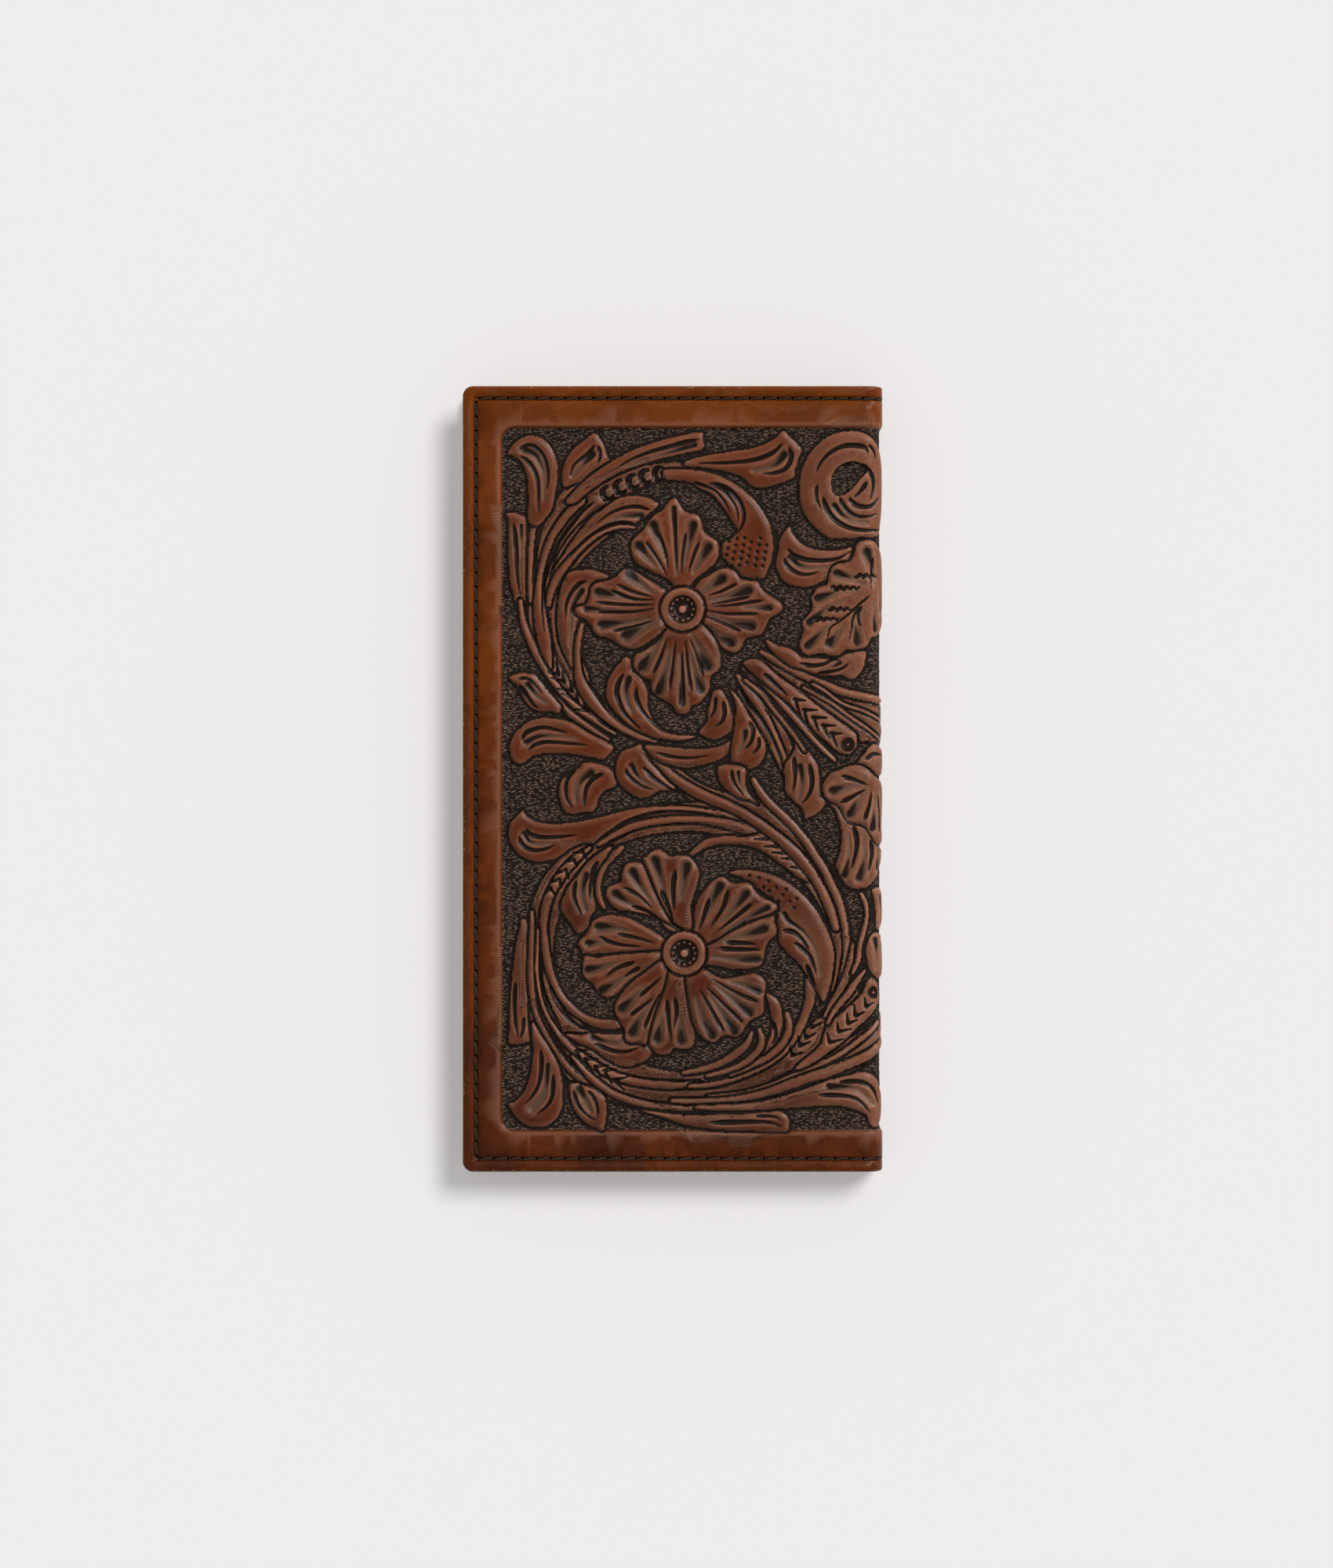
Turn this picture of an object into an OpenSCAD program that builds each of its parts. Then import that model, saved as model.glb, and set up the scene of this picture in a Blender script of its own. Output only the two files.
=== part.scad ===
// Tooled leather checkbook cover, closed, lying on its back panel.
// The fold is at +X, the free edge at -X, the front panel on top (+Z).
// The origin is the centre of the footprint, on the surface the cover lies on.

/* [Cover] */
// Width of the closed cover, from the free edge to the outside of the fold
cover_w = 95; // [94:0.5:110]
// Length of the cover, along the fold
cover_l = 177; // [172:0.5:200]
// Thickness of the tooled outer leather
leather_t = 2; // [1.8:0.1:2.6]
// Outside radius of each of the two bends of the fold
fold_r = 4; // [3.6:0.1:5]
// Radius of the free corners, seen from above
corner_r = 2.3; // [1.8:0.1:6]
// How far the front panel's free edge stops short of the back panel's
front_short = 0.35; // [0:0.05:1]
// Thickness of the glued lining
lining_t = 0.5; // [0.3:0.1:0.8]
// How far the lining and the inner panels stay back from the outer edge
inner_inset = 0.4; // [0.2:0.1:1]
// Gap where a cover panel meets the spine at the fold line
fold_gap = 0.3; // [0.2:0.05:0.5]

/* [Tooling] */
// Depth of the pressed-down ground of the tooled field
field_depth = 0.7; // [0.3:0.05:0.9]
// Width of the plain border at the free edge
border_side = 8.9; // [7:0.1:14]
// Width of the plain border at the top and bottom edges
border_end = 9.2; // [7:0.1:14]
// Distance of the stitch line from the edge
seam_inset = 2.9; // [2.6:0.1:4]
// Width of the groove that the stitches lie in
groove_w = 1; // [0.8:0.1:1.4]
// Depth of that groove
groove_depth = 0.6; // [0.6:0.05:0.8]

/* [Thread] */
// Thread diameter
thread_d = 0.55; // [0.4:0.05:0.55]
// Distance from one stitch hole to the next
stitch_pitch = 3.2; // [2.8:0.1:4]
// Length of thread that shows between two holes
stitch_len = 2.6; // [1.5:0.1:2.6]

/* [Pockets] */
// Thickness of the inner panels and of the pocket leather
panel_t = 0.7; // [0.5:0.1:1.2]
// Clearance inside an empty slot
slot_gap = 0.15; // [0.1:0.05:0.4]
// Distance of the inner panels' open edge from the inside of the fold
panel_setback = 2.2; // [1.6:0.2:3]
// Depth of the checkbook pocket, from its mouth to the free edge
pocket_depth = 68; // [40:1:72]
// Radius of the thumb cut in the mouth of the checkbook pocket
thumb_r = 11; // [6:0.5:18]
// Free height between the back and front pockets, for the pad of checks
pad_room = 4.5; // [4.3:0.1:14]

/* [Cards] */
// Number of stepped card pockets
card_count = 4;
// Number of slot steps that one card pocket reaches down
card_steps = 3;
// Distance from one card slot to the next
card_pitch = 15; // [14:0.5:16]
// Thickness of the card pocket leather
card_t = 0.55; // [0.4:0.05:0.8]
// Length of the ramp where a strip steps over the one behind it
card_ramp = 2; // [1:0.5:3]
// Distance of the first card slot from the top edge
card_top = 15.5; // [12:0.5:18]
// Width cut from each side of a strip below its band
tail_cut = 7; // [5:0.5:14]
// Distance of the inner seams from the fold-side edge of the pockets
side_seam = 1.2; // [1:0.1:2]

/* [Window pocket] */
// Height of the window pocket, along the fold
frame_h = 58.5; // [57:0.5:62]
// Width of the leather round the window
frame_border = 9; // [8:0.5:12]
// Radius of the window's corners
window_r = 4; // [2:0.5:8]
// Thickness of the clear film
film_t = 0.25; // [0.15:0.05:0.4]
// How far the film reaches under the frame, all round
film_lap = 4; // [3:0.5:5]
// Distance of the seam round the window from its edge
window_seam = 1.6; // [1:0.1:2.5]
// Radius of the thumb cut in the mouth of the window pocket
window_thumb_r = 5; // [3:0.5:5.5]

/* [Flap] */
// Thickness of the clear flap
flap_t = 0.3; // [0.2:0.05:0.5]
// Width of the leather hem that holds the flap
hem_w = 7; // [5:0.5:10]
// Gap between the flap and what it turns over
flap_gap = 0.3; // [0.25:0.05:0.6]
// How far the flap stays inside the edge seam
flap_inset = 3; // [1:0.5:10]
// Radius of the flap's free corners
flap_r = 6; // [2:1:20]

/* [Hidden] */
$fn = 48;

saddle = "#7a3f22";
lining_tan = "#6b3b22";
panel_brown = "#5d3220";
thread_brown = "#3a2418";
clear_film = [0.85, 0.9, 0.92, 0.4];

rim = 0.6;
rim_facets = 4;
corner_facets = 8;
seat_gap = 0.01;
cut_over = 1;
field_r = 3;
panel_r = 2;
mouth_r = 3;

free_x = -cover_w / 2;
fold_x = cover_w / 2;
bend_x = fold_x - fold_r;
half_l = cover_l / 2;
thread_r = thread_d / 2;
bend_stitch_len = stitch_len * 0.6;
on_face = thread_r + seat_gap;
inner_fold_r = fold_r - leather_t;

panel_z = leather_t + lining_t + slot_gap;
panel_top = panel_z + panel_t;
pocket_z = panel_top + slot_gap;
pocket_top = pocket_z + panel_t;
flap_z = pocket_top + flap_gap;
card_step = card_t + slot_gap;
card_stack = (card_steps - 1) * card_step + card_t;
front_stack = panel_top + card_stack + thread_d + seat_gap;
cover_h = flap_z + flap_t + pad_room + front_stack;

inner_x0 = free_x + inner_inset;
inner_x1 = bend_x + inner_fold_r - lining_t - panel_setback;
inner_y = half_l - inner_inset;
seam_x = free_x + seam_inset;
front_seam_x = seam_x + front_short;
seam_y = half_l - seam_inset;
field_x = free_x + border_side;
field_y = half_l - border_end;

mouth_x = free_x + pocket_depth;
hem_x1 = inner_x1 - side_seam;
hem_x0 = hem_x1 - hem_w;
flap_y = seam_y - flap_inset;
flap_x1 = hem_x0 - flap_gap;

card_x0 = inner_x0 + front_short;
card_x1 = inner_x1;
card_depth = card_steps * card_pitch - card_ramp - 0.5;
card_seam_x = card_x1 - side_seam;
frame_y0 = -inner_y;
frame_y1 = frame_y0 + frame_h;
film_z = panel_top + slot_gap;
frame_z = film_z + film_t;
frame_face = frame_z + panel_t;

// Points of an arc round a centre, from one angle to another
function arc(c, r, a0, a1, n) = [for (i = [0:n]) let (a = a0 + (a1 - a0) * i / n) c + r * [cos(a), sin(a)]];

// Outline of a rectangle; r holds the corner radii, from the first corner round anticlockwise
function plate_outline(x0, y0, x1, y1, r) = concat(
    arc([x0 + r[0], y0 + r[0]], r[0], 180, 270, corner_facets),
    arc([x1 - r[1], y0 + r[1]], r[1], 270, 360, corner_facets),
    arc([x1 - r[2], y1 - r[2]], r[2], 0, 90, corner_facets),
    arc([x0 + r[3], y1 - r[3]], r[3], 90, 180, corner_facets)
);

// Cross-section of the outer leather, taken along the fold: x is the height above the inner face,
// y runs along the fold. Its edges are rounded, and the two end grooves are part of it.
function leather_section(ground) = let (
    t = leather_t,
    g = groove_w / 2,
    end = half_l - rim,
    half = concat(
        [[0, 0]],
        arc([rim, end], rim, 180, 90, rim_facets),
        arc([t - rim, end], rim, 90, 0, rim_facets),
        [
            [t, seam_y + g], [t - groove_depth, seam_y + g / 2],
            [t - groove_depth, seam_y - g / 2], [t, seam_y - g]
        ],
        ground > 0 ? [[t, field_y], [t - ground, field_y - ground / 2], [t - ground, 0]] : [[t, 0]]
    )
) concat(half, [for (i = [len(half) - 2:-1:1]) [half[i][0], -half[i][1]]]);

// The leather section moved out to the radius of the bends
function bend_section() = [for (p = leather_section(field_depth)) [p[0] + inner_fold_r, p[1]]];

// Section of the lining inside a bend
function lining_section() = [
    [inner_fold_r - lining_t, -inner_y], [inner_fold_r, -inner_y],
    [inner_fold_r, inner_y], [inner_fold_r - lining_t, inner_y]
];

// Places of the stitch centres on a run from a to b
function stitch_places(a, b) = let (n = floor((b - a) / stitch_pitch)) [
    for (i = [0:1:n - 1]) (a + b) / 2 + (i - (n - 1) / 2) * stitch_pitch
];

// Sweep of the leather section along a straight run in X, inner face at z = 0, outer face up
module leather_run(x0, x1, ground) {
    translate([x0, 0, 0])
        rotate([90, 0, 90])
            linear_extrude(x1 - x0)
                rotate(90)
                    polygon(leather_section(ground));
}

// Half a bend: a section of outer radius r swept from angle a0 to just short of the fold line
module half_bend(a0, r, section) {
    rotate([90, 0, 0])
        rotate([0, 0, a0])
            rotate_extrude(angle = 45 - asin(fold_gap / 2 / r))
                polygon(section);
}

// The two bends' centre lines: moves the children to the lower and to the upper one
module at_low_bend() {
    translate([bend_x, 0, fold_r])
        children();
}

module at_high_bend() {
    translate([bend_x, 0, cover_h - fold_r])
        children();
}

// One free corner with its rounded rim, outer face up
module rim_corner() {
    rotate_extrude(angle = 90)
        polygon(concat(
            [[0, 0]],
            arc([corner_r - rim, rim], rim, 270, 360, rim_facets),
            arc([corner_r - rim, leather_t - rim], rim, 0, 90, rim_facets),
            [[0, leather_t]]
        ));
}

// Strip along the free edge, with rounded rim and corners, outer face up
module free_edge(x0) {
    cy = half_l - corner_r;
    translate([x0 + corner_r, cy, 0])
        rotate(90)
            rim_corner();
    translate([x0 + corner_r, -cy, 0])
        rotate(180)
            rim_corner();
    translate([x0, cy, 0])
        rotate([90, 0, 0])
            linear_extrude(2 * cy)
                polygon(concat(
                    [[corner_r, 0]],
                    arc([rim, rim], rim, 270, 180, rim_facets),
                    arc([rim, leather_t - rim], rim, 180, 90, rim_facets),
                    [[corner_r, leather_t]]
                ));
}

// Groove for the stitches along the free edge, as the solid that cuts it
module long_groove(x) {
    w = groove_w / 2;
    translate([x, seam_y, leather_t])
        rotate([90, 0, 0])
            linear_extrude(2 * seam_y)
                polygon([
                    [-w, cut_over], [-w, 0], [-w / 2, -groove_depth],
                    [w / 2, -groove_depth], [w, 0], [w, cut_over]
                ]);
}

// Rounded filling of one corner of the tooled field
module field_corner(side) {
    translate([field_x, side * field_y, leather_t - field_depth])
        mirror([0, side > 0 ? 1 : 0, 0])
            linear_extrude(field_depth)
                polygon(concat([[0, 0]], arc([field_r, field_r], field_r, 270, 180, corner_facets)));
}

// One flat cover panel with its border, stitch grooves and tooled field, outer face up
module cover_panel(x0) {
    difference() {
        union() {
            free_edge(x0);
            leather_run(x0 + corner_r, field_x, 0);
            leather_run(field_x, bend_x, field_depth);
        }
        long_groove(x0 + seam_inset);
    }
    field_corner(-1);
    field_corner(1);
}

// Flat sheet of the given outline, from z up
module sheet(z, t, outline) {
    translate([0, 0, z])
        linear_extrude(t)
            polygon(outline);
}

// One stitch: a short length of thread along X
module stitch(length = stitch_len) {
    rotate([0, 90, 0])
        cylinder(h = length, r = thread_r, center = true);
}

// Row of stitches across the cover, from x0 to x1
module cross_row(y, x0, x1, z) {
    for (x = stitch_places(x0, x1))
        translate([x, y, z])
            stitch();
}

// Row of stitches along the fold's direction, from y0 to y1
module long_row(x, y0, y1, z) {
    for (y = stitch_places(y0, y1))
        translate([x, y, z])
            rotate(90)
                stitch();
}

// Rows of stitches in the grooves of the outer face, up to the bend
module outer_rows(x0) {
    z = groove_depth - on_face;
    for (side = [-1, 1])
        cross_row(side * seam_y, x0, bend_x, z);
    long_row(x0, -seam_y, seam_y, z);
}

// The two stitches in the grooves of half a bend, whose middle is at angle a
module bend_stitches(a) {
    for (side = [-1, 1])
        rotate([0, -a, 0])
            translate([fold_r - groove_depth + on_face, side * seam_y, 0])
                rotate([0, 90, 0])
                    stitch(bend_stitch_len);
}

// Turns the children from the back panel's side over to the front panel's
module on_front() {
    translate([0, 0, cover_h])
        mirror([0, 0, 1])
            children();
}

module back_cover() {
    color(saddle) {
        translate([0, 0, leather_t])
            mirror([0, 0, 1])
                cover_panel(free_x);
        at_low_bend()
            half_bend(-90, fold_r, bend_section());
    }
}

// Lining of one panel and its half of the bend; x0 is its free edge
module panel_lining(x0) {
    sheet(leather_t, lining_t, plate_outline(x0, -inner_y, bend_x, inner_y, [panel_r, 0, 0, panel_r]));
    at_low_bend()
        half_bend(-90, inner_fold_r, lining_section());
}

module back_lining() {
    color(lining_tan)
        panel_lining(inner_x0);
}

module back_bill_panel() {
    color(panel_brown)
        sheet(panel_z, panel_t, plate_outline(
            inner_x0, -inner_y, inner_x1, inner_y, [panel_r, mouth_r, mouth_r, panel_r]
        ));
}

module checkbook_pocket() {
    color(panel_brown)
        difference() {
            sheet(pocket_z, panel_t, plate_outline(
                inner_x0, -inner_y, mouth_x, inner_y, [panel_r, 1, 1, panel_r]
            ));
            translate([mouth_x, 0, pocket_z - cut_over])
                cylinder(h = panel_t + 2 * cut_over, r = thumb_r);
        }
}

module flap_hem() {
    color(panel_brown)
        sheet(panel_top, panel_t, plate_outline(hem_x0, -flap_y, hem_x1, flap_y, [1, 1, 1, 1]));
}

module hem_thread() {
    color(thread_brown)
        long_row(hem_x1 - side_seam, -flap_y + 1, flap_y - 1, panel_top + panel_t + on_face);
}

module back_edge_thread() {
    color(thread_brown) {
        outer_rows(seam_x);
        at_low_bend()
            bend_stitches(-67.5);
        long_row(seam_x, -seam_y, seam_y, pocket_top + on_face);
        for (side = [-1, 1]) {
            cross_row(side * seam_y, seam_x, mouth_x, pocket_top + on_face);
            cross_row(side * seam_y, mouth_x, inner_x1, panel_top + on_face);
        }
    }
}

// Spine wall between the two bends, with half a bend at each end; r is its outer radius
module spine_sweep(section, r) {
    at_low_bend() {
        mirror([0, 0, 1])
            half_bend(0, r, section);
        linear_extrude(cover_h - 2 * fold_r)
            polygon(section);
    }
    at_high_bend()
        half_bend(0, r, section);
}

module spine_cover() {
    color(saddle)
        spine_sweep(bend_section(), fold_r);
}

module spine_lining() {
    color(lining_tan)
        spine_sweep(lining_section(), inner_fold_r);
}

module spine_thread() {
    color(thread_brown) {
        at_low_bend()
            bend_stitches(-22.5);
        at_high_bend()
            bend_stitches(22.5);
        for (side = [-1, 1], z = stitch_places(fold_r, cover_h - fold_r))
            translate([fold_x - groove_depth + on_face, side * seam_y, z])
                rotate([0, 90, 0])
                    stitch();
    }
}

module duplicate_flap() {
    color(clear_film)
        sheet(flap_z, flap_t, plate_outline(
            seam_x + flap_inset, -flap_y, flap_x1, flap_y, [flap_r, 0.5, 0.5, flap_r]
        ));
}

module front_cover() {
    color(saddle) {
        translate([0, 0, cover_h - leather_t])
            cover_panel(free_x + front_short);
        at_high_bend()
            mirror([0, 0, 1])
                half_bend(-90, fold_r, bend_section());
    }
}

module front_lining() {
    color(lining_tan)
        on_front()
            panel_lining(card_x0);
}

module front_bill_panel() {
    color(panel_brown)
        on_front()
            sheet(panel_z, panel_t, plate_outline(
                card_x0, -inner_y, inner_x1, inner_y, [panel_r, mouth_r, mouth_r, panel_r]
            ));
}

// Number of other strips that lie behind strip k
function strips_behind(k) = min(k - 1, card_steps - 1);

// Y of the slot mouth of strip k, and of its foot
function slot_y(k) = half_l - card_top - (k - 1) * card_pitch;
function foot_y(k) = slot_y(k) - card_depth;

// Side view of strip k, as [distance from its foot, height]: it steps up over each strip behind it
function strip_side(k) = concat(
    [[0, 0]],
    [
        for (j = [1:1:strips_behind(k)])
            for (up = [0, 1])
                [j * card_pitch - (1 - up) * card_ramp, (j - 1 + up) * card_step]
    ],
    [[card_depth, strips_behind(k) * card_step]]
);

// One card pocket: a band across the panel, with a narrower tail that runs down to its foot
module card_pocket(k) {
    under = strip_side(k);
    over = [for (i = [len(under) - 1:-1:0]) under[i] + [0, card_t]];
    tail = card_depth - card_pitch - card_ramp;
    color(panel_brown)
        on_front()
            difference() {
                translate([card_x0, foot_y(k), panel_top])
                    rotate([90, 0, 90])
                        linear_extrude(card_x1 - card_x0)
                            polygon(concat(under, over));
                if (k < card_count)
                    for (x = [card_x0 - cut_over, card_x1 - tail_cut])
                        translate([x, foot_y(k) - cut_over, panel_top - cut_over])
                            cube([tail_cut + cut_over, tail + cut_over, card_stack + 2 * cut_over]);
            }
}

// Stitches down one side of the card pockets, on the face of each strip in turn
module card_side_row(x) {
    for (k = [1:1:card_count - 1])
        long_row(
            x, slot_y(k) - card_pitch + card_ramp, slot_y(k),
            panel_top + strips_behind(k) * card_step + card_t + on_face
        );
    for (j = [0:1:card_steps - 1])
        long_row(
            x, foot_y(card_count) + j * card_pitch,
            foot_y(card_count) + min(card_depth, (j + 1) * card_pitch - card_ramp),
            panel_top + j * card_step + card_t + on_face
        );
}

module card_pocket_thread() {
    color(thread_brown)
        on_front() {
            card_side_row(card_seam_x);
            cross_row(
                foot_y(card_count) + side_seam, front_seam_x + side_seam, card_seam_x - side_seam,
                panel_top + card_t + on_face
            );
        }
}

// Outline of the window, grown by a margin
function window_outline(margin) = let (b = frame_border - margin, r = window_r + margin) plate_outline(
    card_x0 + b, frame_y0 + b, card_x1 - b, frame_y1 - b, [r, r, r, r]
);

module window_film() {
    color(clear_film)
        on_front()
            sheet(film_z, film_t, window_outline(film_lap));
}

module window_frame() {
    color(panel_brown)
        on_front()
            difference() {
                sheet(frame_z, panel_t, plate_outline(
                    card_x0, frame_y0, card_x1, frame_y1, [panel_r, mouth_r, 1, 1]
                ));
                sheet(frame_z - cut_over, panel_t + 2 * cut_over, window_outline(0));
                translate([(card_x0 + card_x1) / 2, frame_y1, frame_z - cut_over])
                    cylinder(h = panel_t + 2 * cut_over, r = window_thumb_r);
            }
}

module window_thread() {
    b = frame_border - window_seam;
    r = window_r + window_seam;
    color(thread_brown)
        on_front() {
            long_row(card_seam_x, frame_y0 + seam_inset, frame_y1, frame_face + on_face);
            for (x = [card_x0 + b, card_x1 - b])
                long_row(x, frame_y0 + b + r / 2, frame_y1 - b - r / 2, frame_face + on_face);
            for (y = [frame_y0 + b, frame_y1 - b])
                cross_row(y, card_x0 + b + r / 2, card_x1 - b - r / 2, frame_face + on_face);
        }
}

module front_edge_thread() {
    color(thread_brown)
        on_front() {
            outer_rows(front_seam_x);
            at_low_bend()
                bend_stitches(-67.5);
            cross_row(seam_y, front_seam_x, inner_x1, panel_top + on_face);
            cross_row(-seam_y, front_seam_x, inner_x1, frame_face + on_face);
            long_row(front_seam_x, slot_y(1), seam_y, panel_top + on_face);
            card_side_row(front_seam_x);
            long_row(front_seam_x, frame_y1, foot_y(card_count), panel_top + on_face);
            long_row(front_seam_x, -seam_y, frame_y1, frame_face + on_face);
        }
}

back_cover();
back_lining();
back_bill_panel();
checkbook_pocket();
flap_hem();
back_edge_thread();
hem_thread();
spine_cover();
spine_lining();
spine_thread();
duplicate_flap();
front_cover();
front_lining();
front_bill_panel();
card_pocket(1);  // card_pocket_1
card_pocket(2);  // card_pocket_2
card_pocket(3);  // card_pocket_3
card_pocket(4);  // card_pocket_4
window_frame();
window_film();
front_edge_thread();
card_pocket_thread();
window_thread();
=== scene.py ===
# Looks of a tooled leather checkbook cover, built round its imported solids.
# Sizes are in metres where Blender holds them, and in millimetres where pieces are drawn.

import math

import bmesh
import bpy
import numpy as np
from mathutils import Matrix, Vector
from mathutils.geometry import delaunay_2d_cdt


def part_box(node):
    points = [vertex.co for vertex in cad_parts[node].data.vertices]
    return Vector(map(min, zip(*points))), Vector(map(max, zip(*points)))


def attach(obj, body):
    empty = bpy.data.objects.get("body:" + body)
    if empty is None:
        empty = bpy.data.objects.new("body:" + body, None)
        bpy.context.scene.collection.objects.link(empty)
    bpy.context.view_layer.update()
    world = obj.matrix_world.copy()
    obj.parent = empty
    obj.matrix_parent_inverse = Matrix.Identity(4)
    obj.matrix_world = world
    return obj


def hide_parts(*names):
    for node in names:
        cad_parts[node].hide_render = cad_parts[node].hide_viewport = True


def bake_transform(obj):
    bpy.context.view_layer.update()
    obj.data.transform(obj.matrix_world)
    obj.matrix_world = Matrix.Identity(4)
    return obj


bl_info = {
    "name": "Tooled Checkbook Cover",
    "version": (1, 0, 0),
    "blender": (4, 5, 0),
    "location": "View3D > Sidebar > Checkbook Cover",
    "description": "Dresses a checkbook cover in tooled leather, thread and clear film",
    "category": "Object",
}

MM = 0.001

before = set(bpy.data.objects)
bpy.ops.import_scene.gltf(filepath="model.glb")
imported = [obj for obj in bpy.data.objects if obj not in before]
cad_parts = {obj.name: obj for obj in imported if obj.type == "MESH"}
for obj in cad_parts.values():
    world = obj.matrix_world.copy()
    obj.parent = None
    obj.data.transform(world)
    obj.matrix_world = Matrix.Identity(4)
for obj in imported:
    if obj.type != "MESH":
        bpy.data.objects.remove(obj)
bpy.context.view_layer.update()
FRONT_LOW, FRONT_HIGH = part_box("front_cover")
BACK_LOW, BACK_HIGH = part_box("back_cover")
SPINE_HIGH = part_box("spine_cover")[1]

HIDE_TRIANGLES = 195000
HATCH_PITCH = 0.56  # from one fine slanting stroke to the next, in millimetres
FOLD_HIGHLIGHT_AND_WEAR = (18.0, 50.0)  # where the painted highlight towards the fold, which also stands for wear by the hand, begins and is full, from the middle to the fold
FLOWER_BEADS = 12
OUTER_THREAD = 1.3  # thickness of the thread of the outer seam, against the inner seams
FILM_GAP = 0.04  # gap between the window's film and its frame, in millimetres

PHOTO_PIXELS = (1700, 2000)
PHOTO_CENTRE = (857.2, 993.5)
PIXEL_SIZE = 0.1765 * MM
FLOOR_REACH = 6.0
PANEL_CORNERS = (2, 3, 3, 2)  # corner radii of the two bill panels, in millimetres


def length(name, default, description):
    """A size that shows in the scene's units; its default is given in millimetres"""
    return bpy.props.FloatProperty(
        name=name, description=description, default=default * MM, min=0.0, precision=5,
        subtype="DISTANCE", unit="LENGTH",
    )


def colour(name, default, description):
    """A colour, as red, green and blue on a linear scale"""
    return bpy.props.FloatVectorProperty(
        name=name, description=description, default=default, size=3, min=0.0, max=1.0,
        subtype="COLOR",
    )


class CheckbookCoverSizes(bpy.types.PropertyGroup):
    """Sizes of the cover's pieces"""

    leather: length("Outer leather", 2.0, "Thickness of the tooled leather")
    fold_radius: length("Fold radius", 4.0, "Outside radius of each bend of the fold")
    corner_radius: length("Corner radius", 2.3, "Radius of the free corners")
    rim: length("Rim radius", 0.6, "Rounding of the leather's edges")
    lining: length("Lining", 0.5, "Thickness of the glued lining")
    inset: length("Inner inset", 0.4, "How far the inner pieces stay back from the edge")
    border_side: length("Side border", 8.9, "Width of the plain border at the free edge")
    border_end: length("End border", 9.2, "Width of the plain border at the two ends")
    field_depth: length("Field depth", 0.7, "Depth of the ground of the tooled field")
    field_corner: length("Field corner", 3.0, "Radius of the tooled field's corners")
    seam_inset: length("Seam inset", 2.9, "Distance of the stitches from the edge")
    groove_width: length("Groove width", 1.0, "Width of the groove for the stitches")
    groove_depth: length("Groove depth", 0.6, "Depth of the groove for the stitches")
    pitch: length("Stitch pitch", 3.2, "Distance from one stitch hole to the next")
    stitch: length("Stitch length", 2.6, "Length of thread between two holes")
    thread: length("Thread", 0.55, "Thickness of the thread")
    cell: length("Tooling grain", 0.22, "Spacing of the points that the tooling is drawn on")
    thumb: length("Thumb cut", 11.0, "Radius of the cut in the checkbook pocket's mouth")
    window_thumb: length("Window thumb cut", 5.0, "Radius of the cut in the window pocket's mouth")
    window_border: length("Window border", 9.0, "Width of the leather round the window")
    window_corner: length("Window corner", 4.0, "Radius of the window's corners")
    window_seam: length("Window seam", 1.6, "Distance of the seam round the window from its edge")
    side_seam: length("Side seam", 1.2, "Distance of the inner seams from the pockets' fold-side edge")
    card_step: length("Card step", 0.7, "Height of one strip of the card pockets over the next")
    card: length("Card leather", 0.55, "Thickness of the card pocket leather")
    card_pitch: length("Card pitch", 15.0, "Distance from one card slot to the next")
    card_ramp: length("Card ramp", 2.0, "Length of the ramp where a strip steps up")
    tail_cut: length("Tail cut", 7.0, "Width cut from each side of a strip below its band")


class CheckbookCoverColours(bpy.types.PropertyGroup):
    """Colours of the cover's finishes"""

    border: colour("Border", (0.146, 0.031, 0.002), "Plain border of the tooled leather")
    raised: colour("Raised work", (0.122, 0.024, 0.005), "Raised leaves and petals")
    # Lighter colour for rubbed wear and for painted highlights on edges, crests, strokes and the fold side
    rubbed: colour("Rubbed edges", (0.41, 0.195, 0.120), "Edges that wear has made lighter")
    # Dark antique paste, also the colour of the painted shade in cuts, holes and hollows
    antique: colour("Antique dye", (0.009, 0.005, 0.003), "Dark paste left in cuts and ground")
    # Dark brown of the random patches, also of the painted shade towards the bottom
    deep: colour("Deep brown", (0.045, 0.009, 0.003), "Brown of the darker patches")
    grain: colour("Ground grain", (0.190, 0.120, 0.080), "Raised grains of the matted ground")
    # Painted sheen: a highlight in the scooped hollows
    sheen: colour("Worked hollows", (0.130, 0.074, 0.047), "Bottoms of the scooped hollows")
    edge: colour("Edges", (0.165, 0.055, 0.020), "Burnished edge of the leather")
    lining: colour("Lining", (0.150, 0.058, 0.026), "Lining of the cover")
    pocket: colour("Pockets", (0.115, 0.042, 0.019), "Inner panels and pockets")
    thread: colour("Thread", (0.058, 0.030, 0.017), "Thread of all the seams")
    film: colour("Clear film", (0.88, 0.91, 0.92), "Window and flap")
    floor: colour("Floor", (0.86, 0.84, 0.84), "Floor that the cover lies on")


def sizes():
    return bpy.context.scene.checkbook_cover_sizes


def colours():
    return bpy.context.scene.checkbook_cover_colours


def mm(value):
    """A stored size in millimetres"""
    return value / MM


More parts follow.
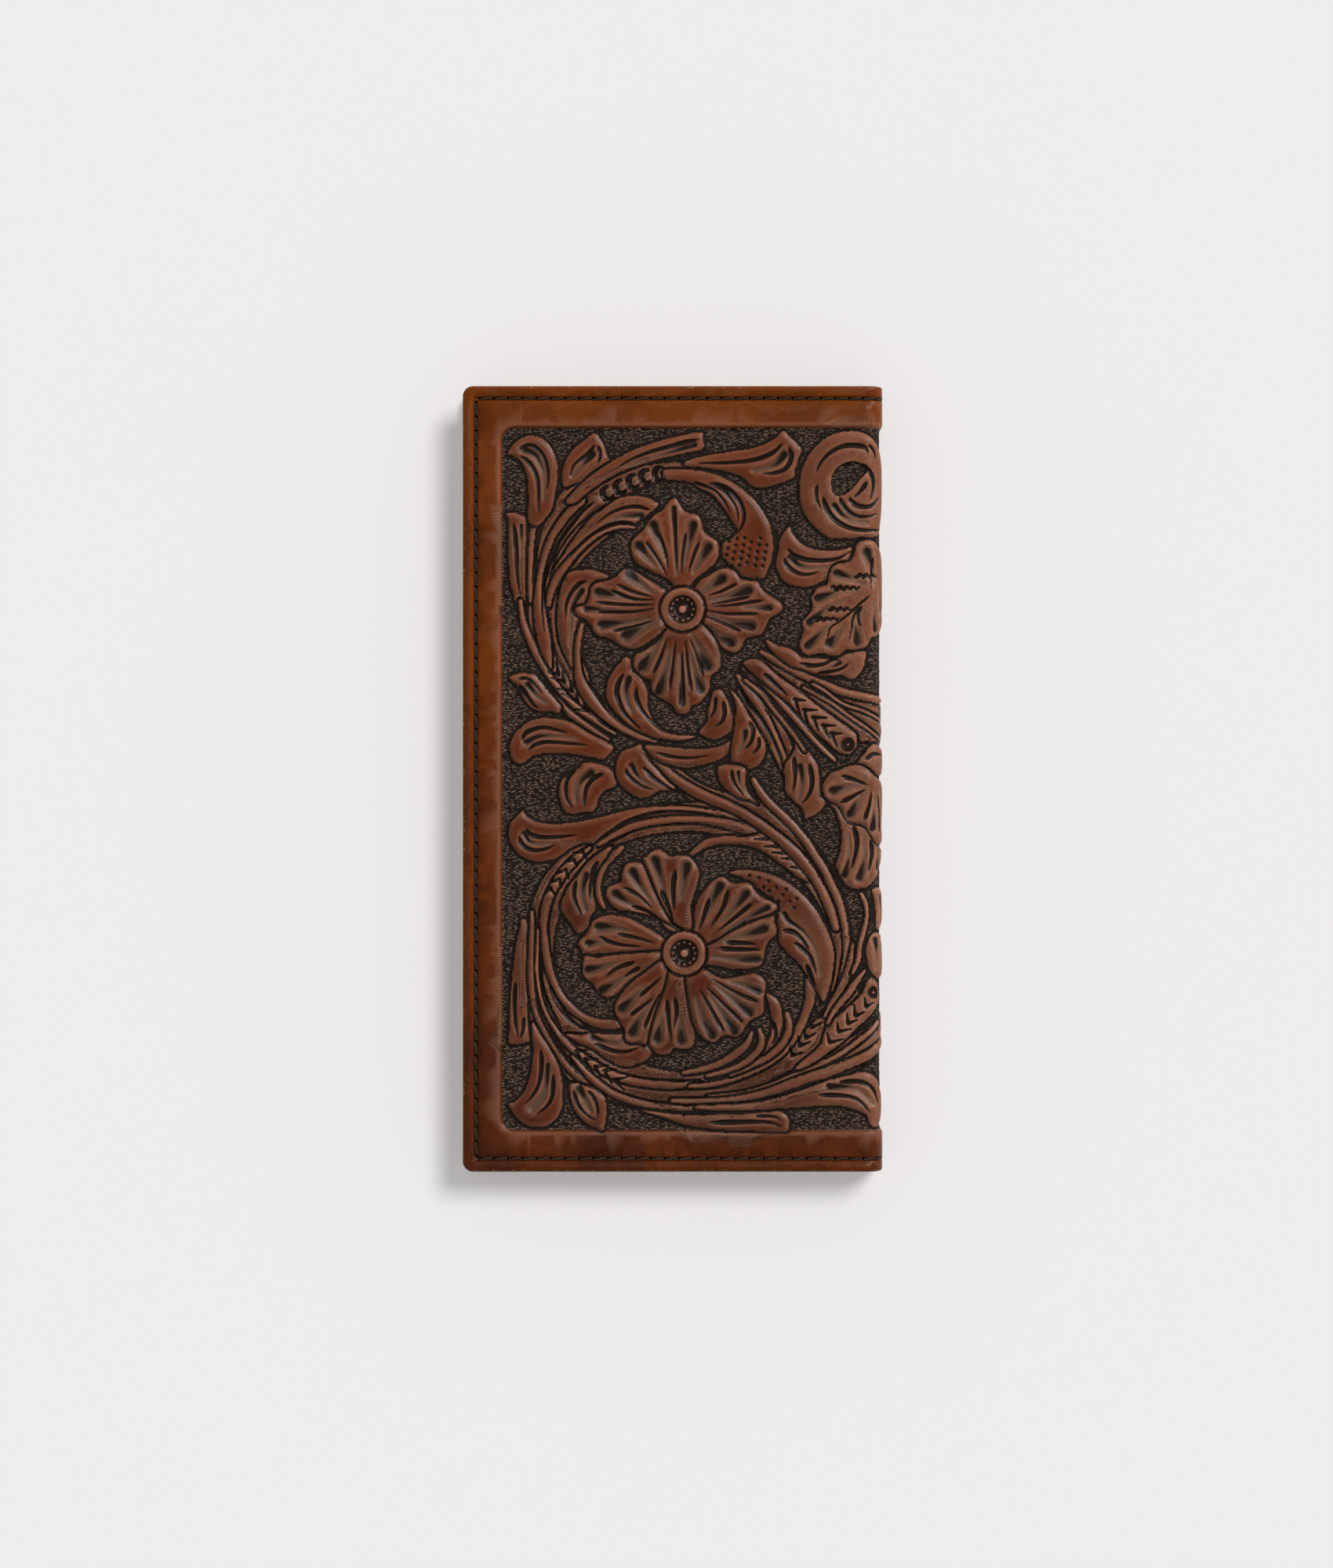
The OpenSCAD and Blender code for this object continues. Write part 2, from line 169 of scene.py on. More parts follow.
class Wire:
    """An output of a shader node; sums written with it add Math nodes"""

    def __init__(self, tree, socket):
        self.tree, self.socket = tree, socket

    def node(self, kind, settings=None, inputs=None, output=0):
        """Adds a node, sets it, then fills its sockets by name or place with values or wires"""
        made = self.tree.nodes.new(kind)
        for name, value in (settings or {}).items():
            setattr(made, name, value)
        for key, value in (inputs or {}).items():
            socket = made.inputs[key]
            if isinstance(value, Wire):
                self.tree.links.new(value.socket, socket)
            elif socket.type == "RGBA" and len(value) == 3:
                socket.default_value = (*value, 1.0)
            else:
                socket.default_value = value
        return Wire(self.tree, made.outputs[output] if made.outputs else None)

    def maths(self, operation, *values, clamp=False):
        settings = {"operation": operation, "use_clamp": clamp}
        return self.node("ShaderNodeMath", settings, dict(enumerate(values)))

    def __add__(self, other): return self.maths("ADD", self, other)

    __radd__ = __add__

    def __sub__(self, other): return self.maths("SUBTRACT", self, other)

    def __rsub__(self, other): return self.maths("SUBTRACT", other, self)

    def __mul__(self, other): return self.maths("MULTIPLY", self, other)

    __rmul__ = __mul__

    def __neg__(self): return self.maths("MULTIPLY", self, -1.0)

    def clamp(self):
        return self.maths("ADD", self, 0.0, clamp=True)

    def sine(self):
        return self.maths("SINE", self)

    def band(self, low, high):
        """0 below low, 1 above high, smooth between them"""
        inputs = {"Value": self, "From Min": low, "From Max": high, "To Min": 0.0, "To Max": 1.0}
        return self.node("ShaderNodeMapRange", {"interpolation_type": "SMOOTHSTEP"}, inputs)

    def mix(self, first, second):
        """A colour between two, by this share"""
        return self.node(
            "ShaderNodeMix", {"data_type": "RGBA"}, {0: self, 6: first, 7: second}, 2
        )


class Finish:
    """A new material and the wires that its pattern starts from"""

    def __init__(self, name):
        self.material = bpy.data.materials.new(name)
        self.material.use_nodes = True
        self.tree = self.material.node_tree
        self.tree.nodes.clear()
        self.node = Wire(self.tree, None).node
        place = self.node("ShaderNodeTexCoord", output=3)
        scale = {0: place, "Scale": 1 / MM}
        self.place = self.node("ShaderNodeVectorMath", {"operation": "SCALE"}, scale)

    def spread(self, factors, turn=0.0):
        """The place in millimetres, turned about Z and stretched"""
        inputs = {"Vector": self.place, "Rotation": (0, 0, turn), "Scale": factors}
        return self.node("ShaderNodeMapping", None, inputs)

    def noise(self, scale, detail=3.0, rough=0.5, place=None):
        place = place or self.place
        inputs = {"Vector": place, "Scale": scale, "Detail": detail, "Roughness": rough}
        return self.node("ShaderNodeTexNoise", None, inputs)

    def cells(self, scale, place=None):
        inputs = {"Vector": place or self.place, "Scale": scale}
        return self.node("ShaderNodeTexVoronoi", None, inputs)

    def layer(self, name):
        """A value stored on the piece's points"""
        return self.node("ShaderNodeAttribute", {"attribute_name": name}, output=2)

    def bump(self, height, depth, under=None):
        """A Bump from a height between 0 and 1, and its depth in metres"""
        inputs = {"Height": height, "Distance": depth, "Strength": 1.0}
        if under:
            inputs["Normal"] = under
        return self.node("ShaderNodeBump", None, inputs)

    def close(self, **sockets):
        """Joins the last shader to the material's output"""
        shader = self.node("ShaderNodeBsdfPrincipled", None, {
            name.replace("_", " "): value for name, value in sockets.items()
        })
        self.node("ShaderNodeOutputMaterial", None, {0: shader})
        return self.material


def carved_hide():
    """Vegetable-tanned leather, dyed, rubbed with dark paste and waxed"""
    shade = colours()
    f = Finish("carved_hide")
    dye, rub, sheen = f.layer("dye"), f.layer("rub"), f.layer("sheen")
    ground, hatch, phase = f.layer("ground"), f.layer("hatch"), f.layer("phase")
    field, edge = f.layer("field"), f.layer("edge")
    crest, hollow = f.layer("crest"), f.layer("hollow")
    cloud = f.noise(0.05, 4.0, 0.6)
    fine = f.noise(1.1, 4.0, 0.65)
    pore = f.cells(2.4)
    across = f.node("ShaderNodeSeparateXYZ", None, {0: f.place}, 0)
    height = f.node("ShaderNodeSeparateXYZ", None, {0: f.place}, 1)
    dye = dye.band(0.12, 0.55)
    ground = ground.band(0.2, 0.7)
    # Random darker mottle, plus painted shade that darkens the leather towards the bottom, away from the
    # light
    mottle_and_shade = cloud.band(0.35, 0.68) * 0.45 + fine.band(0.3, 0.75) * 0.25
    mottle_and_shade = mottle_and_shade + height * -0.0036 + 0.12
    base = field.mix(shade.border, shade.raised)
    base = mottle_and_shade.clamp().mix(base, shade.deep)
    stroke = (phase * (2 * math.pi / HATCH_PITCH)).sine().band(-0.1, 0.75)
    strokes = hatch * stroke
    base = (strokes * 0.5).mix(base, shade.rubbed)
    base = ((hatch - strokes) * 0.45).clamp().mix(base, shade.antique)
    # Painted sheen in the scooped hollows
    base = (sheen * 0.8).mix(base, shade.sheen)
    # Antique paste and painted shade in hollows below their surroundings
    base = (hollow * 0.85).mix(base, shade.antique)
    # Painted highlight towards the fold, where the light comes from, also standing for wear by the hand
    fold_highlight_and_wear = across.band(*FOLD_HIGHLIGHT_AND_WEAR) * field * 0.5
    # Ridges above their surroundings lightened as wear and painted highlight
    base = (crest * (0.1 + fine * 0.45) + fold_highlight_and_wear * fine).clamp().mix(base, shade.rubbed)
    # Painted highlights on raised edges, lips, beads and rims, mixed with rubbed wear
    base = (rub * (0.45 + fine * 0.85)).clamp().mix(base, shade.rubbed)
    flow = f.spread((0.8, 2.6, 1.0), 0.55)
    grain = f.cells(1.4, flow).band(0.55, 0.2) * (0.3 + fine.band(0.25, 0.6) * 0.7)
    matted = grain.mix(shade.antique, shade.grain)
    base = ground.mix(base, matted)
    # Dark antique paste and painted shade in cuts, holes, bevels and stamp marks
    base = (dye * 0.97).clamp().mix(base, shade.antique)
    worn = (edge * 3.0).clamp() * f.noise(0.9, 5.0, 0.7).band(0.56, 0.66)
    base = (edge * 0.6).mix(base, shade.edge)
    base = (worn * 0.6).mix(base, shade.rubbed)
    relief = grain * ground * 0.8 + strokes * 0.5
    bumps = f.bump(relief, 0.00018)
    bumps = f.bump(pore * 0.5 + fine * 0.5, 0.00003, bumps)
    rough = (0.26 + fine * 0.12 + ground * 0.35).clamp()
    return f.close(Base_Color=base, Roughness=rough, Normal=bumps, Specular_IOR_Level=0.12)


def plain_leather(name, tone, scale):
    """Smooth dyed leather with pores, faint folds and a burnished edge"""
    shade = colours()
    f = Finish(name)
    edge = f.layer("edge")
    crease = f.layer("crease")
    cloud = f.noise(0.06, 4.0, 0.6)
    fine = f.noise(1.4 * scale, 4.0, 0.6)
    pore = f.cells(2.2 * scale)
    base = (cloud.band(0.3, 0.75) * 0.4 + fine.band(0.4, 0.8) * 0.3).clamp()
    base = base.mix(tone, shade.deep)
    base = (crease * 0.7).mix(base, shade.antique)
    base = edge.mix(base, shade.edge)
    bumps = f.bump(pore * 0.6 + fine * 0.4, 0.00004)
    rough = (0.42 + fine * 0.2).clamp()
    return f.close(Base_Color=base, Roughness=rough, Normal=bumps, Specular_IOR_Level=0.15)


def waxed_thread():
    """Twisted thread: the plies turn round each stitch"""
    shade = colours()
    f = Finish("waxed_thread")
    along, around = f.layer("along"), f.layer("around")
    ply = ((along * 5.0 + around) * (2 * math.pi)).sine().band(-0.8, 0.9)
    fuzz = f.noise(6.0, 2.0)
    base = (ply * 0.7 + fuzz * 0.3).clamp().mix(shade.antique, shade.thread)
    bumps = f.bump(ply, 0.00006)
    rough = 0.5 + fuzz * 0.2
    return f.close(Base_Color=base, Roughness=rough, Normal=bumps, Specular_IOR_Level=0.15)


def clear_sheet():
    """Clear plastic film with faint scuffs"""
    f = Finish("clear_sheet")
    scuff = f.noise(0.5, 5.0, 0.7, f.spread((0.3, 2.0, 1.0), 0.4))
    rough = (0.08 + scuff.band(0.5, 0.8) * 0.18).clamp()
    bumps = f.bump(f.noise(0.05, 2.0), 0.0002)
    return f.close(
        Base_Color=colours().film, Roughness=rough, Normal=bumps, Alpha=0.07 + scuff * 0.07,
        IOR=1.45,
    )


def spots(text):
    """Points written as x,y in millimetres, or x,y,half-width; a missing width is the last one"""
    rows, width = [], None
    for word in text.split():
        numbers = [float(a) for a in word.split(",")]
        if len(numbers) == 3:
            width = numbers[2]
        elif width is not None:
            numbers.append(width)
        rows.append(numbers)
    return np.array(rows)


def smooth_line(points, step=0.7, closed=False):
    """A curve through given points, as points about a step apart"""
    p = spots(points) if isinstance(points, str) else np.asarray(points, float)
    if len(p) < 3 and not closed:
        n = max(2, int(np.linalg.norm(p[-1] - p[0]) / step) + 1)
        t = np.linspace(0, 1, n)[:, None]
        return p[0] + (p[-1] - p[0]) * t
    if closed:
        p = np.vstack([p[-1], p, p[0], p[1]])
    else:
        p = np.vstack([2 * p[0] - p[1], p, 2 * p[-1] - p[-2]])
    out = []
    for a, b, c, d in zip(p[:-3], p[1:-2], p[2:-1], p[3:]):
        n = max(1, int(math.ceil(np.linalg.norm(c[:2] - b[:2]) / step)))
        for t in np.arange(n) / n:
            out.append(0.5 * (
                2 * b + (c - a) * t + (2 * a - 5 * b + 4 * c - d) * t ** 2
                + (3 * b - a - 3 * c + d) * t ** 3
            ))
    if not closed:
        out.append(p[-2])
    return np.array(out)


def ease(x):
    """Smooth step from 0 to 1"""
    x = np.clip(x, 0, 1)
    return x * x * (3 - 2 * x)


def inside(loops, x, y):
    """Which places lie inside an outline and outside its holes"""
    odd = np.zeros(np.broadcast(x, y).shape, bool)
    for ring in loops:
        for a, b in zip(ring, np.roll(ring, -1, 0)):
            if a[1] != b[1]:
                crosses = (a[1] > y) != (b[1] > y)
                odd ^= crosses & (x < (b[0] - a[0]) * (y - a[1]) / (b[1] - a[1]) + a[0])
    return odd


# Depths and reaches of the stamps, in millimetres
EDGE_REACH = 2.4
CUT_DEPTH = 0.42
BEVEL_WIDTH = 0.55
STRAND_TOP, STRAND_CROWN = -0.08, 0.14
BAND_LEVEL = -0.3


class Tooling:
    """Height, dye with painted shade, and painted highlights of a tooled face, worked stroke by stroke with
    the maker's stamps
    """

    def __init__(self, u, v, depth):
        self.u, self.v = u, v
        self.depth = depth
        for layer in ("height", "cover", "dye", "rub", "sheen", "hatch", "phase"):
            setattr(self, layer, np.zeros((len(u), len(v))))

    def work(self, text):
        """Works the strokes of a text, one to a line: the stamp, its numbers, then the points
        of its line or outline. A line that begins with a space goes on with the last stroke"""
        for stroke in text.strip().replace("\n ", " ").split("\n"):
            stamp, *words = stroke.split()
            if stamp != "#":
                points = " ".join(word for word in words if "," in word)
                getattr(self, stamp)(points, *(float(a) for a in words if "," not in a))

    def window(self, points, reach):
        lo, hi = points[:, :2].min(0) - reach, points[:, :2].max(0) + reach
        i0, i1 = np.searchsorted(self.u, [lo[0], hi[0]])
        j0, j1 = np.searchsorted(self.v, [lo[1], hi[1]])
        return slice(i0, i1), slice(j0, j1)

    def follow(self, points, reach):
        """Window round a line, with each point's distance, signed side and place along it"""
        where = self.window(points, reach)
        u, v = self.u[where[0]], self.v[where[1]]
        far = np.full((len(u), len(v)), 1e3)
        side, along = np.zeros_like(far), np.zeros_like(far)
        run = 0.0
        for a, b in zip(points[:-1, :2], points[1:, :2]):
            d = b - a
            size = float(np.hypot(*d))
            if size < 1e-6:
                continue
            i0, i1 = np.searchsorted(u, [min(a[0], b[0]) - reach, max(a[0], b[0]) + reach])
            j0, j1 = np.searchsorted(v, [min(a[1], b[1]) - reach, max(a[1], b[1]) + reach])
            x = u[i0:i1, None] - a[0]
            y = v[None, j0:j1] - a[1]
            t = np.clip((x * d[0] + y * d[1]) / size ** 2, 0, 1)
            gap = np.hypot(x - t * d[0], y - t * d[1])
            here = gap < far[i0:i1, j0:j1]
            far[i0:i1, j0:j1] = np.where(here, gap, far[i0:i1, j0:j1])
            along[i0:i1, j0:j1] = np.where(here, run + t * size, along[i0:i1, j0:j1])
            turn = np.sign(d[0] * y - d[1] * x)
            side[i0:i1, j0:j1] = np.where(here, turn, side[i0:i1, j0:j1])
            run += size
        return where, far, side, along / max(run, 1e-6), run

    def spot(self, x, y, reach):
        """Window round a spot, with each point's distance from it"""
        where = self.window(np.array([[x, y]]), reach)
        return where, np.hypot(self.u[where[0]][:, None] - x, self.v[where[1]][None, :] - y)

    def outline(self, text, reach):
        """Window round an outline, with the distance inside it and the place along it"""
        loop = smooth_line(text, 0.6, closed=True)
        where, far, _, t, run = self.follow(np.vstack([loop, loop[:1]]), reach)
        far = np.minimum(far, reach)
        odd = inside([loop], self.u[where[0]][:, None], self.v[where[1]][None, :])
        return where, np.where(odd, far, -far), t * run

    def strand(self, text, step, reach):
        """Window round a line of changing width, with the distance inside the strand"""
        points = smooth_line(text, step)
        where, far, _, t, run = self.follow(points, reach)
        half = np.interp(t, np.linspace(0, 1, len(points)), points[:, 2])
        return where, np.clip(half - far, -EDGE_REACH, EDGE_REACH), t * run

    def mark(self, layer, where, value):
        """Raises a layer to a value wherever it is lower"""
        layer[where] = np.maximum(layer[where], value)

    def settle(self, where, depth_in, top, crown, steep=0.3, along=None):
        """Lays a raised shape over what is there: depth_in is the distance inside its edge.
        The beveller leaves slanting strokes on the leather just outside it"""
        within = depth_in > 0
        base = -self.depth
        rise = 1 - np.exp(-np.maximum(depth_in, 0) / steep)
        hump = crown * ease(depth_in / 1.6)
        level = base + (top - crown - base) * rise + hump
        outside = np.maximum(-depth_in, 0)
        bevel = np.exp(-(outside / BEVEL_WIDTH) ** 2)
        height = self.height[where]
        pressed = np.minimum(height, height * (1 - bevel) + (base - 0.06) * bevel)
        self.height[where] = np.where(within, level, pressed)
        fresh = np.where(within, 0.0, 1.0)
        for layer in (self.dye, self.rub, self.sheen, self.hatch):
            layer[where] *= fresh
        if along is not None:
            tool = ease((outside - 0.15) / 0.25) * ease((1.25 - outside) / 0.4)
            tool = tool * self.cover[where] * fresh
            self.mark(self.hatch, where, 0.75 * tool)
            self.phase[where] = np.where(tool > 0.05, along + 0.8 * outside, self.phase[where])
        self.mark(self.cover, where, ease(depth_in / 0.2 + 0.5))
        # A dark line of paste and painted shade just outside the edge, and a lighter line of wear and
        # painted highlight just inside it
        line = np.exp(-((outside - 0.12) / 0.38) ** 2)
        self.dye[where] = np.where(within, self.dye[where], np.maximum(self.dye[where], line))
        edge = np.exp(-((depth_in - 0.28) / 0.17) ** 2)
        self.rub[where] = np.where(within, np.maximum(self.rub[where], 0.35 * edge), self.rub[where])

    def raised(self, outline, top=-0.05, crown=0.12):
        """A raised leaf or petal inside an outline"""
        where, depth_in, along = self.outline(outline, EDGE_REACH)
        self.settle(where, depth_in, top, crown, along=along)

    def ribbon(self, line):
        """A raised strand; each point is x, y and half the width there"""
        where, depth_in, along = self.strand(line, 0.6, 3.0)
        self.settle(where, depth_in, STRAND_TOP, STRAND_CROWN, 0.25, along)

    def cut(self, line, width, lean=0.0, depth=CUT_DEPTH):
        """A tapering knife cut, opened on one side by a beveller where lean isn't 0"""
        pts = smooth_line(line, 0.5)
        where, far, side, t, _ = self.follow(pts, 2.6)
        taper = np.clip(5 * t, 0.04, 1) ** 0.5 * np.clip(1.1 - t, 0, 1) ** 0.6
        half = 0.8 * width * taper
        groove = np.exp(-(far / np.maximum(half, 0.05)) ** 4) * np.clip(2 * taper, 0, 1)
        slope = np.exp(-far / 0.6) * (side * lean > 0) * abs(lean) * taper
        press = np.maximum(depth * groove, 0.8 * depth * slope)
        self.height[where] -= press * self.cover[where]
        # The groove and its bevel darkened with paste and painted shade
        self.mark(self.dye, where, np.maximum(groove, 0.6 * slope))
        # A painted highlight on the lip beside the cut
        lip = np.exp(-((far - half - 0.22) / 0.13) ** 2) * taper
        self.rub[where] = np.maximum(self.rub[where], 0.3 * lip) * (1 - groove)

    def scoop(self, line, wide, narrow):
        """A smooth hollow pressed from a wide end to a narrow one"""
        pts = smooth_line(line, 0.5)
        where, far, side, t, _ = self.follow(pts, max(wide, narrow) * 1.3 + 0.4)
        half = 1.12 * (wide + (narrow - wide) * t)
        across = far / np.maximum(half, 0.1)
        bowl = np.clip(1 - across ** 2, 0, 1)
        self.height[where] -= CUT_DEPTH * bowl * np.clip(half, 0.3, 1) * self.cover[where]
        # Painted shade on one wall of the scoop, strongest at its wide end
        steep = np.where(side > 0, 1.0, 0.55)
        painted_scoop_shade = bowl ** 1.5 * np.clip(1.1 - 1.6 * t, 0, 1) * steep
        self.mark(self.dye, where, painted_scoop_shade)
        # A painted sheen over the hollow's bowl
        self.mark(self.sheen, where, bowl ** 0.7)
        # A painted highlight on the scoop's lip
        lip = np.exp(-((across - 1.12) / 0.14) ** 2)
        self.rub[where] = np.maximum(self.rub[where] * (1 - 0.8 * bowl), 0.28 * lip)

    def band(self, line):
        """A wide lower band, matted with fine slanting strokes, that strands lie on"""
        where, depth_in, _ = self.strand(line, 0.8, 6.5)
        self.settle(where, depth_in, BAND_LEVEL, 0.0)
        weave = self.u[where[0]][:, None] * 0.8 + self.v[where[1]][None, :] * 0.6
        patch = ease(depth_in / 0.4)
        self.mark(self.hatch, where, 0.8 * patch)
        self.phase[where] = np.where(depth_in > 0, weave, self.phase[where])
        self.mark(self.dye, where, 0.16 * patch)

    def shade(self, line, half):
        """A band stamped with fine slanting strokes along a line"""
        pts = smooth_line(line, 0.6)
        where, far, side, t, run = self.follow(pts, half + 0.5)
        band = ease((half - far) / 0.25 + 0.5)
        stronger = band > self.hatch[where]
        self.mark(self.hatch, where, band)
        slant = t * run + 0.55 * far * side
        self.phase[where] = np.where(stronger, slant, self.phase[where])
        self.height[where] -= 0.1 * band * self.cover[where]

    def chevrons(self, marks, width=0.72):
        """V-shaped stamp marks, each written as one arm's end, the corner and the other end"""
        for mark in marks.split():
            arm, corner, other = spots(mark.replace("/", " "))
            for end in (arm, other):
                pts = smooth_line([end, corner], 0.5)
                where, far, _, t, _ = self.follow(pts, 1.4)
                half = 0.5 * width * (0.45 + 0.75 * t)
                dent = np.exp(-(far / half) ** 2)
                self.height[where] -= 0.4 * dent
                # Each dent darkened with paste and painted shade
                self.mark(self.dye, where, dent)
                # A painted highlight on the lip round each mark
                lip = np.exp(-((far - half - 0.2) / 0.14) ** 2)
                self.rub[where] = np.maximum(self.rub[where], 0.7 * lip) * (1 - dent)

    def petal(self, outline):
        """A petal: raised higher than the leaves, with a beveled edge"""
        self.raised(outline, top=0.0, crown=0.1)

    def hollow(self, line, wide, narrow):
        """A scoop in a petal, blunter than the same scoop in a leaf"""
        self.scoop(line, 0.78 * wide + 0.25, 0.6 * narrow + 0.2)

    def pit(self, outline):
        """Lets the matted ground show again inside an outline"""
        where, depth_in, _ = self.outline(outline, 1.6)
        sunk = ease(depth_in / 0.5 + 0.5)
        self.height[where] = self.height[where] * (1 - sunk) - self.depth * sunk
        self.cover[where] *= 1 - sunk
        self.dye[where] = np.maximum(self.dye[where] * (1 - sunk), 4 * sunk * (1 - sunk))

    def cup(self, x, y, radius):
        """The domed rim and the dark hollow of a flower's heart"""
        where, far = self.spot(x, y, radius + 2.5)
        self.settle(where, np.clip(radius + 0.7 - far, -EDGE_REACH, EDGE_REACH), 0.0, 0.0)
        rim = np.exp(-((far - radius + 0.2) / 0.8) ** 2)
        well = ease((radius - 0.85 - far) / 0.5)
        here = far < radius + 0.7
        self.height[where] = np.where(here, 0.1 * rim - 0.12 - 0.4 * well, self.height[where])
        # The well darkened with paste and painted shade
        self.mark(self.dye, where, 0.9 * well)
        # A painted highlight on the domed rim
        self.rub[where] = np.maximum(self.rub[where] * (1 - well), 0.2 * rim * here)

    def dot(self, x, y, radius, press, ring=0.0):
        """A round stamp mark: hollow where press is over 0, a bead where it is under 0"""
        where, far = self.spot(x, y, radius + 0.8)
        bowl = ease((radius - far) / (0.6 * radius))
        self.height[where] -= press * bowl
        # A hollow mark is darkened with paste and painted shade; a bead is lightened with a painted
        # highlight
        if press > 0:
            self.mark(self.dye, where, bowl)
        else:
            self.dye[where] *= 1 - bowl
            self.mark(self.rub, where, 0.6 * bowl)
        if ring:
            moat = np.exp(-((far - radius - 0.1) / ring) ** 2)
            self.height[where] -= 0.2 * moat
            self.mark(self.dye, where, moat * (far > radius * 0.8))

    def eye(self, place, radius, press, ring=0.0):
        """A round stamp mark at a place written as x,y"""
        self.dot(*spots(place)[0], radius, press, ring)

    def seeds(self, places):
        """Small hollows, as on a seed pod"""
        for x, y in spots(places):
            self.dot(x, y, 0.5, 0.34)

    def heart(self, place):
        """The seed cup in the middle of a flower: a domed rim, a moat, beads and a boss"""
        x, y = spots(place)[0]
        self.cup(x, y, 4.2)
        for k in range(FLOWER_BEADS):
            a = 2 * math.pi * k / FLOWER_BEADS
            self.dot(x + 2.5 * math.cos(a), y + 2.5 * math.sin(a), 0.4, -0.3)
        self.dot(x, y, 1.3, -0.34, 0.2)


class Wrap:
    """The outer leather unrolled: u runs from the free edge over the fold to the spine's middle,
    v along the fold and h above the outer face. The back half is the front's mirror image."""

    def __init__(self, front):
        s = sizes()
        self.front = front
        self.body = "front" if front else "back"
        self.free = mm(FRONT_LOW.x if front else BACK_LOW.x)
        self.top = mm(FRONT_HIGH.z)
        self.bend = mm(SPINE_HIGH.x - s.fold_radius)
        self.radius = mm(s.fold_radius)
        self.arc = self.radius * math.pi / 2
        self.end = self.bend + self.arc + (self.top - 2 * self.radius) / 2
        self.half_length = mm(FRONT_HIGH.y)

    def place(self, u, v, h):
        """Points in metres for unrolled places in millimetres"""
        angle = np.clip((u - self.bend) / self.radius, 0, math.pi / 2)
        reach = self.radius + h
        x = np.minimum(u, self.bend) + reach * np.sin(angle)
        z = self.top - self.radius + reach * np.cos(angle)
        z = z - np.maximum(u - self.bend - self.arc, 0)
        if not self.front:
            z = self.top - z
        return np.stack([x, v + 0 * x, z], -1) * MM

    def rim_distance(self, u, v, radius, free=None, half_length=None):
        """Distance inside an outline whose free corners are round, and the way out of it.
        It is the cover's own outline unless a free edge and half a length are given"""
        free, half_length = free or self.free, half_length or self.half_length
        cx = np.maximum(free + radius - u, 0)
        cy = np.maximum(np.abs(v) - (half_length - radius), 0)
        both = (cx > 0) & (cy > 0)
        to_side, to_end = u - free, half_length - np.abs(v)
        corner = np.hypot(cx, cy)
        depth_in = np.where(both, radius - corner, np.minimum(to_side, to_end))
        end_side = to_end < to_side
        nx = np.where(both, -cx / np.maximum(corner, 1e-9), np.where(end_side, 0.0, -1.0))
        ny = np.where(both, cy / np.maximum(corner, 1e-9), np.where(end_side, 1.0, 0.0))
        return depth_in, nx, ny * np.sign(v)

    def across_fold(self, piece):
        """Bakes a piece's placing into its mesh; the ends of the bend between panel and spine are worked
        out but not used
        """
        low, high = mm(SPINE_HIGH.x), self.bend
        spine_z, panel_z = self.top - self.radius, self.top
        if not self.front:
            spine_z, panel_z = self.radius, 0.0
        low * MM
        spine_z * MM
        high * MM
        panel_z * MM
        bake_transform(piece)


def steps(low, high, step):
    """Evenly spaced values from low up to but not at high"""
    count = max(1, round((high - low) / step))
    return list(low + (high - low) * np.arange(count) / count)


def new_mesh(name, points, faces, layers, material):
    """A mesh object with values stored on its points"""
    mesh = bpy.data.meshes.new(name)
    counts = np.array([len(f) for f in faces])
    corners = np.concatenate(faces)
    mesh.vertices.add(len(points))
    mesh.vertices.foreach_set("co", np.asarray(points, np.float32).ravel())
    mesh.loops.add(len(corners))
    mesh.loops.foreach_set("vertex_index", corners.astype(np.int32))
    mesh.polygons.add(len(counts))
    starts = np.concatenate([[0], np.cumsum(counts)[:-1]])
    mesh.polygons.foreach_set("loop_start", starts.astype(np.int32))
    mesh.polygons.foreach_set("loop_total", counts.astype(np.int32))
    mesh.update(calc_edges=True)
    for layer, values in layers.items():
        store = mesh.attributes.new(layer, "FLOAT", "POINT")
        store.data.foreach_set("value", np.asarray(values, np.float32).ravel())
    made = bpy.data.objects.new(name, mesh)
    bpy.context.scene.collection.objects.link(made)
    mesh.materials.append(material)
    return made


def outward(piece):
    """Merges doubles, turns every face outwards and shades it smooth"""
    work = bmesh.new()
    work.from_mesh(piece.data)
    bmesh.ops.remove_doubles(work, verts=work.verts, dist=1e-6)
    bmesh.ops.dissolve_degenerate(work, edges=work.edges, dist=1e-6)
    bmesh.ops.recalc_face_normals(work, faces=work.faces)
    work.to_mesh(piece.data)
    work.free()
    piece.data.shade_smooth()


def finished(piece):
    """Replaces a piece's mesh by the one that its modifiers make, and drops them"""
    graph = bpy.context.evaluated_depsgraph_get()
    mesh = bpy.data.meshes.new_from_object(piece.evaluated_get(graph))
    piece.modifiers.clear()
    piece.data = mesh
    return piece


BORDER_STEP = 0.8  # spacing of the points in the plain borders, in millimetres


